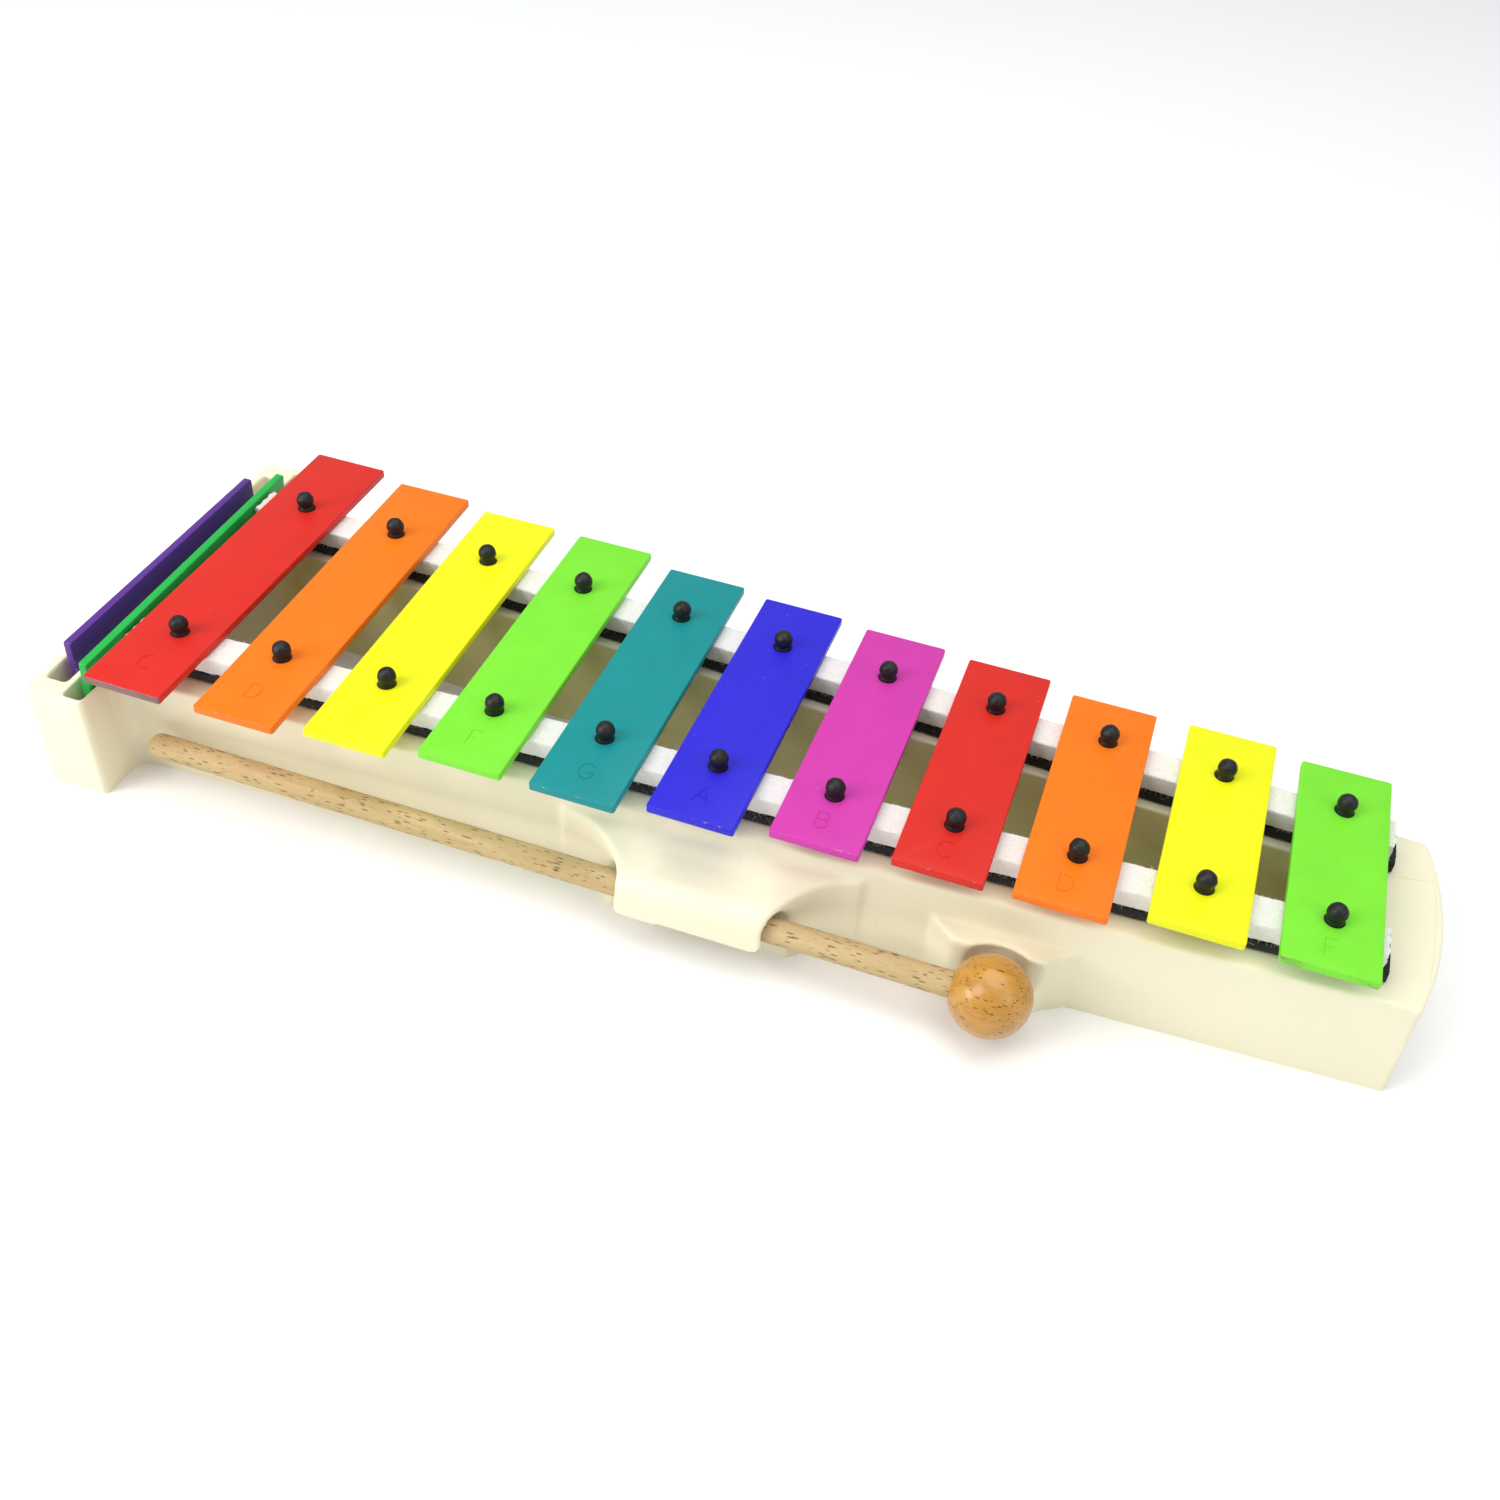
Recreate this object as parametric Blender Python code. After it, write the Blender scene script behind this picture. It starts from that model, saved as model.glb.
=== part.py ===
"""Eleven-bar glockenspiel: painted steel bars on two felted rails in a moulded casing.

The casing is one open-bottomed plastic moulding that narrows towards the short bars. Its left
end is a taller block with two slots for spare bars, and its front wall carries a holder for
the mallet. X runs along the bar row towards the short bars, Y points away from the player
and Z is up. The origin is the middle of the casing on the table. Lengths are in millimetres
and become metres where the meshes are made.
"""

import math

import bmesh
import bpy
from mathutils import Matrix, Vector

MM = 0.001

# Bar row
BAR_WIDTH = 20.0
BAR_THICKNESS = 2.0
BAR_PITCH = 26.6
BAR_UNDERSIDE_Z = 34.5
BAR_CORNER_RADIUS = 0.6
BAR_EDGE = 0.3
ROW_CENTRE_X = 1.1  # the middle bar stands this far right of the casing's middle
BAR_HOLE_RADIUS = 2.85
HOLE_FOLLOWS_PIN = 0.6  # share of the bar's play by which its holes are drilled off its middle line
BARS = (
    # name, length, paint, sideways play, endways play, turn in degrees as it lies on the felt
    ("bar_c_low", 102.4, (0.62, 0.020, 0.012), -0.7, 0.9, -0.2),
    ("bar_d_low", 98.0, (0.85, 0.177, 0.004), 0.4, -0.5, 0.5),
    ("bar_e_low", 92.7, (0.80, 0.82, 0.004), 0.0, -0.6, 0.6),
    ("bar_f_low", 89.1, (0.185, 0.70, 0.031), 0.2, 1.0, 0.1),
    ("bar_g_low", 84.9, (0.004, 0.245, 0.252), 0.4, -1.0, 0.0),
    ("bar_a", 79.5, (0.023, 0.017, 0.57), 0.0, -0.4, -0.3),
    ("bar_b", 74.8, (0.565, 0.038, 0.355), 0.2, 0.2, -0.3),
    ("bar_c_high", 71.4, (0.62, 0.020, 0.012), 0.0, 0.5, -0.2),
    ("bar_d_high", 67.7, (0.85, 0.177, 0.004), -0.7, -0.9, -0.2),
    ("bar_e_high", 64.0, (0.80, 0.82, 0.004), 0.3, 1.1, -0.4),
    ("bar_f_high", 61.9, (0.185, 0.70, 0.031), 0.0, -0.2, 0.3),
)

# Rails: the two lines of pins converge towards the short bars
PIN_LINE_MIDDLE = 22.7
PIN_LINE_SLOPE = 0.0415
STRIP_WIDTH = 8.6
BLACK_STRIP_Z = (26.6, 29.3)
BLACK_STRIP_X = (-143.3, 147.6)
FELT_Z = (29.6, 34.2)
FELT_X = {"front": (-144.3, 145.9), "back": (-145.2, 145.9)}
STRIP_HOLE_RADIUS = 2.4
HOLE_SIDES = 8

# Rubber pins, as (radius, height) up the turned profile
PIN_SIDES = 10
PIN_BALL_RADIUS = 2.2
PIN_BALL_Z = 38.9
PIN_STEM = ((1.0, 20.8), (2.1, 22.6), (1.45, 23.6), (1.45, 26.6), (2.1, 26.7), (2.1, 35.8), (1.55, 36.4))
PIN_HOLE_RADIUS = 1.75

# Casing
CASING_HALF_LENGTH = 160.0
WALL = 2.3
RAIL_TOP_Z = 26.3
DRAFT = 0.8
OUTER_REACH = 10.2  # from a pin line out to the foot of the casing's side
OPENING_REACH = (9.9, 6.4)  # from a pin line in to the opening, at the foot and at the top
OPENING_X = (-136.5, 134.0)
RIGHT_CORNER_X = 156.0
EDGE_ROUND = 1.4
BLOCK_X = (-160.0, -143.9)
BLOCK_HALF_DEPTH = 52.5
BLOCK_TOP_Z = 29.0
BLOCK_FILLET = 4.0
SLOT_FLOOR_Z = 16.3

# Spare bars: slot edges in X, slot half length and scoop, bar length, front end, lean, foot X, paint
SPARES = (
    ("spare_bar_b_flat", (-157.2, -151.9), (46.6, 5.0), 76.0, -42.0, 1.5, 0.0, -153.6, (0.065, 0.035, 0.140)),
    ("spare_bar_f_sharp", (-149.9, -144.6), (50.8, 3.6), 86.2, -47.0, 5.8, 0.9, -147.87, (0.015, 0.410, 0.065)),
)
SPARE_CLEARANCE = 0.3

# Mallet and its holder
MALLET_Y = -43.0
MALLET_Z = 12.5
STICK_RADIUS = 3.0
STICK_X = (-135.2, 73.0)
HEAD_RADIUS = 9.15
HEAD_X = 71.2
HEAD_BORE_RADIUS = 3.25
HOLDER_FRONT_Y = -48.7
HOLDER_FRONT_SLOPE = 0.02  # the holder's front runs in towards the right end
HOLDER_X = (-13.3, 20.8)
HOLDER_LEFT_FLARE = 18.3
HOLDER_RIGHT_FLARE = ((20.8, -48.7), (23.0, -38.5), (29.0, -33.2), (38.5, -31.6))
HOLDER_LEG_FOOT_Z = 9.0
HOLDER_LEG_CORNER = 1.8
CHANNEL_Y = (-46.8, -39.2)
CHANNEL_ARCH_Z = 13.6
HOLDER_PROFILE = (
    (-29.0, 0.0),
    (-29.0, 23.6),
    (-34.0, 22.0),
    (-37.5, 20.2),
    (-41.0, 19.5),
    (-44.6, 19.2),
    (-47.0, 18.2),
    (-48.3, 16.4),
    (HOLDER_FRONT_Y, 14.0),
    (HOLDER_FRONT_Y, 0.0),
)
REST_TOP_Z = 17.7
REST_PLAN = (
    (53.9, -30.1), (60.4, -35.3), (79.6, -35.3), (81.0, -33.5), (82.8, -31.8), (85.2, -30.5), (88.0, -28.6),
)
REST_ROOT_Y = -26.5
SCOOP_RADIUS = 11.2
HEAD_PATH_RADIUS = 9.6


def pin_line(x):
    """Distance of the pin lines from the middle of the bars at casing position x."""
    return PIN_LINE_MIDDLE - PIN_LINE_SLOPE * (x - ROW_CENTRE_X)


def arc(centre, radii, start, end, steps):
    """Points on an ellipse's arc, angles in degrees, both ends included."""
    points = []
    for step in range(steps + 1):
        angle = math.radians(start + (end - start) * step / steps)
        points.append((centre[0] + radii[0] * math.cos(angle), centre[1] + radii[1] * math.sin(angle)))
    return points


def bezier(corners, steps):
    """Points on the cubic curve with four control points."""
    points = []
    for step in range(steps + 1):
        t = step / steps
        weights = ((1 - t) ** 3, 3 * t * (1 - t) ** 2, 3 * t * t * (1 - t), t**3)
        points.append(tuple(sum(w * corner[axis] for w, corner in zip(weights, corners)) for axis in (0, 1)))
    return points


def material(name, colour, roughness, metallic=0.0):
    made = bpy.data.materials.new(name)
    made.use_nodes = True
    shader = made.node_tree.nodes["Principled BSDF"]
    shader.inputs["Base Color"].default_value = (*colour, 1.0)
    shader.inputs["Roughness"].default_value = roughness
    shader.inputs["Metallic"].default_value = metallic
    return made


def add_object(name, mesh_data, look=None, smooth_angle=30.0):
    """An object with the mesh built in millimetres brought to metres."""
    bmesh.ops.scale(mesh_data, vec=(MM, MM, MM), verts=mesh_data.verts)
    bmesh.ops.recalc_face_normals(mesh_data, faces=mesh_data.faces)
    mesh = bpy.data.meshes.new(name)
    mesh_data.to_mesh(mesh)
    mesh_data.free()
    mesh.shade_smooth()
    mesh.set_sharp_from_angle(angle=math.radians(smooth_angle))
    made = bpy.data.objects.new(name, mesh)
    bpy.context.scene.collection.objects.link(made)
    if look:
        mesh.materials.append(look)
    else:
        made.hide_render = True
        made.display_type = "WIRE"
    return made


def combine(target, operation, tool):
    step = target.modifiers.new(tool.name, "BOOLEAN")
    step.operation = operation
    step.object = tool
    step.solver = "EXACT"


def loft(lower, upper):
    """A closed solid between two outlines with the same number of 3-D points."""
    solid = bmesh.new()
    low = [solid.verts.new(point) for point in lower]
    high = [solid.verts.new(point) for point in upper]
    solid.faces.new(low[::-1])
    solid.faces.new(high)
    for i in range(len(low)):
        j = (i + 1) % len(low)
        solid.faces.new((low[i], low[j], high[j], high[i]))
    bmesh.ops.recalc_face_normals(solid, faces=solid.faces)
    return solid


def upright(lower, z_low, z_high, upper=None):
    """A prism over an outline in plan, with another outline at its top if it has draft."""
    upper = upper or lower
    return loft([(x, y, z_low) for x, y in lower], [(x, y, z_high) for x, y in upper])


def along_x(profile, x_low, x_high):
    """A prism along X over an outline in Y and Z."""
    return loft([(x_low, y, z) for y, z in profile], [(x_high, y, z) for y, z in profile])


def box_outline(x_low, x_high, y_low, y_high):
    return [(x_low, y_low), (x_high, y_low), (x_high, y_high), (x_low, y_high)]


def round_edges(solid, choose, width, segments):
    edges = [edge for edge in solid.edges if choose(edge)]
    bmesh.ops.bevel(
        solid, geom=edges, offset=width, segments=segments, profile=0.5, affect="EDGES", clamp_overlap=True
    )


def at_height(edge, z):
    return all(abs(vert.co.z - z) < 1e-4 for vert in edge.verts)


def add_cylinder(solid, radius, centre, z_low, z_high, sides):
    """One more upright cylinder in the same mesh."""
    place = Matrix.Translation((centre[0], centre[1], (z_low + z_high) / 2))
    bmesh.ops.create_cone(
        solid, cap_ends=True, segments=sides, radius1=radius, radius2=radius, depth=z_high - z_low, matrix=place
    )


def turned(profile, sides):
    """A solid of revolution about Z from (radius, height) points, bottom to top."""
    solid = bmesh.new()
    rings = []
    for radius, height in profile:
        if radius < 1e-6:
            rings.append([solid.verts.new((0.0, 0.0, height))])
            continue
        angles = [2 * math.pi * k / sides for k in range(sides)]
        rings.append([solid.verts.new((radius * math.cos(a), radius * math.sin(a), height)) for a in angles])
    for low, high in zip(rings, rings[1:]):
        for k in range(sides):
            quad = [low[k % len(low)], low[(k + 1) % len(low)], high[(k + 1) % len(high)], high[k % len(high)]]
            solid.faces.new(list(dict.fromkeys(quad)))
    for ring, turn in ((rings[0], -1), (rings[-1], 1)):
        if len(ring) > 1:
            solid.faces.new(ring[::turn])
    return solid


def bar_solid(length):
    """A bar lying flat: rounded corners in plan and softened edges, centred on its middle."""
    r = BAR_CORNER_RADIUS
    half_x = BAR_WIDTH / 2 - r
    half_y = length / 2 - r
    outline = []
    for quarter, (sx, sy) in enumerate(((1, 1), (-1, 1), (-1, -1), (1, -1))):
        outline += arc((sx * half_x, sy * half_y), (r, r), 90 * quarter, 90 * quarter + 90, 3)
    solid = upright(outline, -BAR_THICKNESS / 2, BAR_THICKNESS / 2)
    rims = (-BAR_THICKNESS / 2, BAR_THICKNESS / 2)
    round_edges(solid, lambda edge: any(at_height(edge, z) for z in rims), BAR_EDGE, 1)
    return solid


def hole_places(half_span, play, turn):
    """Where a bar is drilled: near its middle line, towards where its pins come through."""
    places = []
    for side in (-1, 1):
        nominal = Vector((0.0, side * half_span))
        pin = (nominal - Vector(play)) @ Matrix.Rotation(math.radians(turn), 2)
        places.append(nominal.lerp(pin, HOLE_FOLLOWS_PIN))
    return places


def drill_bar(bar, name, places):
    """Two holes where the bar's pins pass."""
    holes = bmesh.new()
    for place in places:
        add_cylinder(holes, BAR_HOLE_RADIUS, place, -BAR_THICKNESS, BAR_THICKNESS, 14)
    cutter = add_object(name + "_holes", holes)
    cutter.parent = bar
    combine(bar, "DIFFERENCE", cutter)


def build_bars():
    for index, (name, length, paint, play_x, play_y, turn) in enumerate(BARS):
        x = ROW_CENTRE_X + (index - 5) * BAR_PITCH
        bar = add_object(name, bar_solid(length), material(name + "_paint", paint, 0.35))
        bar.location = Vector((x + play_x, play_y, BAR_UNDERSIDE_Z + BAR_THICKNESS / 2)) * MM
        bar.rotation_euler.z = math.radians(turn)
        drill_bar(bar, name, hole_places(pin_line(x), (play_x, play_y), turn))


def build_spare_bars():
    for name, _, _, length, front_y, lean, turn, foot_x, paint in SPARES:
        bar = add_object(name, bar_solid(length), material(name + "_paint", paint, 0.35))
        slope = math.radians(lean)
        foot = SLOT_FLOOR_Z + SPARE_CLEARANCE + math.sin(slope) * BAR_THICKNESS / 2
        middle = Vector((foot_x + math.sin(slope) * BAR_WIDTH / 2, front_y + length / 2, 0.0))
        middle.z = foot + math.cos(slope) * BAR_WIDTH / 2
        bar.location = middle * MM
        bar.rotation_euler = (0.0, slope - math.pi / 2, math.radians(turn))
        drill_bar(bar, name, hole_places(0.276 * length, (0.0, 0.0), 0.0))


def build_pins():
    rubber = material("black_rubber", (0.012, 0.012, 0.013), 0.45)
    profile = list(PIN_STEM)
    for angle in (-45, -10, 25, 60, 90):
        turn = math.radians(angle)
        profile.append((PIN_BALL_RADIUS * math.cos(turn), PIN_BALL_Z + PIN_BALL_RADIUS * math.sin(turn)))
    shared = None
    for index in range(len(BARS)):
        x = ROW_CENTRE_X + (index - 5) * BAR_PITCH
        for row, side in (("front", -1), ("back", 1)):
            name = f"pin_{row}_{index + 1:02d}"
            if shared is None:
                pin = add_object(name, turned(profile, PIN_SIDES), rubber)
                shared = pin.data
            else:
                pin = bpy.data.objects.new(name, shared)
                bpy.context.scene.collection.objects.link(pin)
            pin.location = Vector((x, side * pin_line(x), 0.0)) * MM


def pin_holes(name, radius, z_low, z_high, sides):
    """A cutter with a cylinder at each pin; side picks one rail, or both when it is 0."""
    holes = bmesh.new()
    for index in range(len(BARS)):
        x = ROW_CENTRE_X + (index - 5) * BAR_PITCH
        for side in sides:
            add_cylinder(holes, radius, (x, side * pin_line(x)), z_low, z_high, HOLE_SIDES)
    return add_object(name, holes)


def build_strips():
    felt = material("white_felt", (0.82, 0.80, 0.76), 0.95)
    black = material("black_velour", (0.012, 0.012, 0.014), 0.95)
    for row, side in (("front", -1), ("back", 1)):
        layers = (("felt_strip", FELT_X[row], FELT_Z, felt), ("underlay_strip", BLACK_STRIP_X, BLACK_STRIP_Z, black))
        for layer, (x_low, x_high), (z_low, z_high), look in layers:
            half = STRIP_WIDTH / 2
            corners = [(x_low, -half), (x_high, -half), (x_high, half), (x_low, half)]
            outline = [(x, side * pin_line(x) + offset) for x, offset in corners]
            strip = add_object(f"{row}_{layer}", upright(outline, z_low, z_high), look)
            cutter = pin_holes(f"{row}_{layer}_holes", STRIP_HOLE_RADIUS, z_low - 1, z_high + 1, (side,))
            combine(strip, "DIFFERENCE", cutter)


def casing_outline(inset):
    """The body's outline in plan: fillets against the left block, tapering sides, a bowed end."""
    start_x = BLOCK_X[1]
    fillet_x = start_x + BLOCK_FILLET
    side_y = pin_line(fillet_x) + OUTER_REACH - inset
    centre_y = side_y + BLOCK_FILLET
    right_x = RIGHT_CORNER_X - inset
    right_y = pin_line(RIGHT_CORNER_X) + OUTER_REACH - inset
    bow = CASING_HALF_LENGTH - RIGHT_CORNER_X
    bow_radius = (right_y * right_y + bow * bow) / (2 * bow)
    bow_half = math.degrees(math.asin(right_y / bow_radius))
    bow_centre = (right_x + bow - bow_radius, 0.0)
    front = [(start_x - 6.0, -centre_y), (start_x, -centre_y)]
    front += arc((fillet_x, -centre_y), (BLOCK_FILLET, BLOCK_FILLET), 180, 90, 4)[1:]
    back = [(x, -y) for x, y in reversed(front)]
    return front + arc(bow_centre, (bow_radius, bow_radius), -bow_half, bow_half, 10) + back


def casing_body():
    """The body, with its long top edges rounded and a crisp edge along the bowed end."""
    body = upright(casing_outline(0.0), 0.0, RAIL_TOP_Z, casing_outline(DRAFT))
    end = RIGHT_CORNER_X - DRAFT - 0.01

    def is_long_edge(edge):
        return at_height(edge, RAIL_TOP_Z) and min(vert.co.x for vert in edge.verts) < end

    round_edges(body, is_long_edge, EDGE_ROUND, 3)
    return body


def left_block():
    inset = DRAFT / 2
    lower = box_outline(BLOCK_X[0], BLOCK_X[1], -BLOCK_HALF_DEPTH, BLOCK_HALF_DEPTH)
    upper = box_outline(
        BLOCK_X[0] + inset, BLOCK_X[1] - inset / 2, -BLOCK_HALF_DEPTH + inset, BLOCK_HALF_DEPTH - inset
    )
    block = upright(lower, 0.0, BLOCK_TOP_Z, upper)
    round_edges(block, lambda edge: abs(edge.verts[0].co.z - edge.verts[1].co.z) > 1.0, 1.6, 3)
    round_edges(block, lambda edge: at_height(edge, BLOCK_TOP_Z), 0.5, 2)
    return block


def mallet_holder():
    """Plan of the holder: concave flares from the wall out to the tunnel that covers the stick."""
    left_wall_y = -pin_line(HOLDER_X[0]) - OUTER_REACH
    left_centre = (HOLDER_X[0] - HOLDER_LEFT_FLARE, HOLDER_FRONT_Y)
    left = arc(left_centre, (HOLDER_LEFT_FLARE, left_wall_y - HOLDER_FRONT_Y - 1.2), 90, 0, 8)
    right = bezier(HOLDER_RIGHT_FLARE, 8)
    plan = [(left[0][0], HOLDER_PROFILE[0][0])] + left + right + [(right[-1][0], HOLDER_PROFILE[0][0])]
    return upright(plan, 0.0, 26.0)


def holder_section(x):
    """The holder's outline in Y and Z at x, as 3-D points."""
    shift = HOLDER_FRONT_SLOPE * (x - HOLDER_X[0])
    return [(x, y + shift, z) for y, z in HOLDER_PROFILE]


def leg_cutter():
    """What is taken away below the holder's front leg, whose lower corners are rounded."""
    r = HOLDER_LEG_CORNER
    left, right = HOLDER_X
    outline = arc((left + r, HOLDER_LEG_FOOT_Z + r), (r, r), 180, 270, 4)
    outline += arc((right - r, HOLDER_LEG_FOOT_Z + r), (r, r), 270, 360, 4)
    outline += [(right + 30.0, HOLDER_LEG_FOOT_Z + r), (right + 30.0, -1.0)]
    outline += [(left - 30.0, -1.0), (left - 30.0, HOLDER_LEG_FOOT_Z + r)]
    near, far = HOLDER_FRONT_Y - 2.0, CHANNEL_Y[1] - 0.2
    return loft([(x, near, z) for x, z in outline], [(x, far, z) for x, z in outline])


def head_rest():
    """A low boss that the head nests against."""
    plan = [(REST_PLAN[0][0], REST_ROOT_Y), *REST_PLAN, (REST_PLAN[-1][0], REST_ROOT_Y)]
    return upright(plan, 0.0, REST_TOP_Z)


def opening_cutter():
    """The well under the bars, which narrows downwards with the mould's draft."""
    outlines = []
    for reach in OPENING_REACH:
        left, right = OPENING_X
        left_y = pin_line(left) - reach
        right_y = pin_line(right) - reach
        outlines.append([(left, -left_y), (right, -right_y), (right, right_y), (left, left_y)])
    foot, top = outlines
    span = [(f[0] + (f[0] - t[0]) / 26, f[1] + (f[1] - t[1]) / 26) for f, t in zip(foot, top)]
    cutter = upright(span, -1.0, RAIL_TOP_Z + 1.0, top)
    round_edges(cutter, lambda edge: abs(edge.verts[0].co.z - edge.verts[1].co.z) > 1.0, 3.0, 3)
    return cutter


def rail_hollow(side):
    """The underside of one rail, open below, with a wall left all round."""
    x_low = OPENING_X[0] - 5.0
    x_high = OPENING_X[1] + 6.0
    lower = []
    upper = []
    for x, outer in ((x_low, True), (x_high, True), (x_high, False), (x_low, False)):
        reach = OUTER_REACH - WALL if outer else WALL - OPENING_REACH[0]
        lower.append((x, side * (pin_line(x) + reach)))
        reach = OUTER_REACH - DRAFT - WALL if outer else WALL - OPENING_REACH[1]
        upper.append((x, side * (pin_line(x) + reach)))
    return upright(lower, -1.0, RAIL_TOP_Z - WALL, upper)


def end_hollow():
    """The underside of the bowed end."""
    x_low = OPENING_X[1] + WALL
    right_y = pin_line(RIGHT_CORNER_X) + OUTER_REACH - WALL - DRAFT
    left_y = pin_line(x_low) + OUTER_REACH - WALL - DRAFT
    plan = [(x_low, -left_y), (RIGHT_CORNER_X - WALL - DRAFT, -right_y)]
    plan += [(CASING_HALF_LENGTH - WALL - DRAFT - 0.6, 0.0)]
    plan += [(RIGHT_CORNER_X - WALL - DRAFT, right_y), (x_low, left_y)]
    return upright(plan, -1.0, RAIL_TOP_Z - WALL - 0.2)


def block_hollow():
    """The underside of the left block, below the slots, and of the wall beside it."""
    top = SLOT_FLOOR_Z - WALL
    depth = BLOCK_HALF_DEPTH - WALL
    neck = pin_line(OPENING_X[0]) + OUTER_REACH - WALL - DRAFT
    plan = [
        (BLOCK_X[0] + WALL, -depth),
        (BLOCK_X[1] - WALL, -depth),
        (BLOCK_X[1] - WALL, -neck),
        (OPENING_X[0] - WALL, -neck),
        (OPENING_X[0] - WALL, neck),
        (BLOCK_X[1] - WALL, neck),
        (BLOCK_X[1] - WALL, depth),
        (BLOCK_X[0] + WALL, depth),
    ]
    return upright(plan, -1.0, top)


def slot_cutter(edges, half_length, scoop):
    """A slot whose floor sweeps up to the top face at both ends."""
    rise = BLOCK_TOP_Z - SLOT_FLOOR_Z
    right = arc((half_length - scoop, BLOCK_TOP_Z), (scoop, rise), -90, 0, 6)
    left = [(-y, z) for y, z in reversed(right)]
    top = [(half_length, BLOCK_TOP_Z + 2.0), (-half_length, BLOCK_TOP_Z + 2.0)]
    return along_x(right + top + left, edges[0], edges[1])


def channel_cutter():
    """The tunnel that the stick lies in: arched above and open below."""
    y_low, y_high = CHANNEL_Y
    half = (y_high - y_low) / 2
    arch = arc(((y_low + y_high) / 2, CHANNEL_ARCH_Z), (half, half), 0, 180, 8)
    profile = [(y_low, -2.0), (y_high, -2.0)] + arch
    return along_x(profile, HOLDER_X[0] - 25.0, HOLDER_X[1] + 25.0)


def head_clearance():
    """Room for the head where it rests and on its way out along the stick."""
    ball = bmesh.new()
    place = Matrix.Translation((HEAD_X, MALLET_Y, MALLET_Z)) @ Matrix.Rotation(math.pi / 2, 4, "Y")
    bmesh.ops.create_uvsphere(ball, u_segments=24, v_segments=12, radius=SCOOP_RADIUS, matrix=place)
    return ball


def rod_along_x(radius, x_low, x_high, y, z, sides):
    rod = bmesh.new()
    place = Matrix.Translation(((x_low + x_high) / 2, y, z)) @ Matrix.Rotation(math.pi / 2, 4, "Y")
    bmesh.ops.create_cone(
        rod, cap_ends=True, segments=sides, radius1=radius, radius2=radius, depth=x_high - x_low, matrix=place
    )
    return rod


def build_casing():
    casing = add_object("casing", casing_body(), material("ivory_plastic", (0.80, 0.74, 0.50), 0.35))
    holder = add_object("holder_plan", mallet_holder())
    span = (HOLDER_X[0] - 30.0, HOLDER_X[1] + 30.0)
    profile = add_object("holder_profile", loft(*[holder_section(x) for x in span]))
    combine(holder, "INTERSECT", profile)
    joined = (
        ("left_block", left_block()),
        ("head_rest", head_rest()),
    )
    for name, solid in joined:
        combine(casing, "UNION", add_object(name, solid))
    combine(casing, "UNION", holder)
    cutters = [
        ("opening", opening_cutter()),
        ("front_rail_hollow", rail_hollow(-1)),
        ("back_rail_hollow", rail_hollow(1)),
        ("end_hollow", end_hollow()),
        ("block_hollow", block_hollow()),
        ("under_leg", leg_cutter()),
        ("channel", channel_cutter()),
        ("head_scoop", head_clearance()),
        ("head_path", rod_along_x(HEAD_PATH_RADIUS, HEAD_X, HEAD_X + 40.0, MALLET_Y, MALLET_Z, 24)),
        ("stick_pocket", rod_along_x(STICK_RADIUS + 0.6, STICK_X[0] - 1.4, -118.0, MALLET_Y, MALLET_Z, 16)),
    ]
    cutters += [(f"slot_{spare[0]}", slot_cutter(spare[1], *spare[2])) for spare in SPARES]
    for name, solid in cutters:
        combine(casing, "DIFFERENCE", add_object(name, solid))
    holes = pin_holes("rail_pin_holes", PIN_HOLE_RADIUS, RAIL_TOP_Z - WALL - 2.0, RAIL_TOP_Z + 1.0, (-1, 1))
    combine(casing, "DIFFERENCE", holes)


def build_mallet():
    beech = material("plain_beech", (0.56, 0.40, 0.20), 0.6)
    varnished = material("varnished_beech", (0.50, 0.25, 0.05), 0.2)
    length = STICK_X[1] - STICK_X[0]
    profile = [(STICK_RADIUS * math.sin(t), STICK_RADIUS * (1 - math.cos(t))) for t in (0.35, 0.75, 1.15)]
    profile += [(STICK_RADIUS, STICK_RADIUS), (STICK_RADIUS, length)]
    stick = add_object("mallet_stick", turned(profile, 16), beech)
    head_profile = []
    bore_angle = math.degrees(math.acos(HEAD_BORE_RADIUS / HEAD_RADIUS))
    bore_floor = STICK_X[1] - HEAD_X + 0.3
    head_profile += [(0.0, bore_floor), (HEAD_BORE_RADIUS, bore_floor)]
    for step in range(12):
        turn = math.radians(-bore_angle + (90.0 + bore_angle) * step / 11)
        radius = HEAD_RADIUS * math.cos(turn) if step < 11 else 0.0
        head_profile.append((radius, HEAD_RADIUS * math.sin(turn)))
    head = add_object("mallet_head", turned(head_profile, 20), varnished)
    for piece, x in ((stick, STICK_X[0]), (head, HEAD_X)):
        piece.location = Vector((x, MALLET_Y, MALLET_Z)) * MM
        piece.rotation_euler.y = math.pi / 2


def clear_scene():
    for leftover in list(bpy.data.objects):
        bpy.data.objects.remove(leftover, do_unlink=True)


def main():
    clear_scene()
    build_casing()
    build_strips()
    build_pins()
    build_bars()
    build_spare_bars()
    build_mallet()


main()
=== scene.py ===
"""Looks for the glockenspiel: ivory casing, felted rails, painted bars, rubber pins and a beech mallet."""

import math
import random

import bmesh
import bpy
import numpy as np
from mathutils import Matrix, Vector, noise


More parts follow.
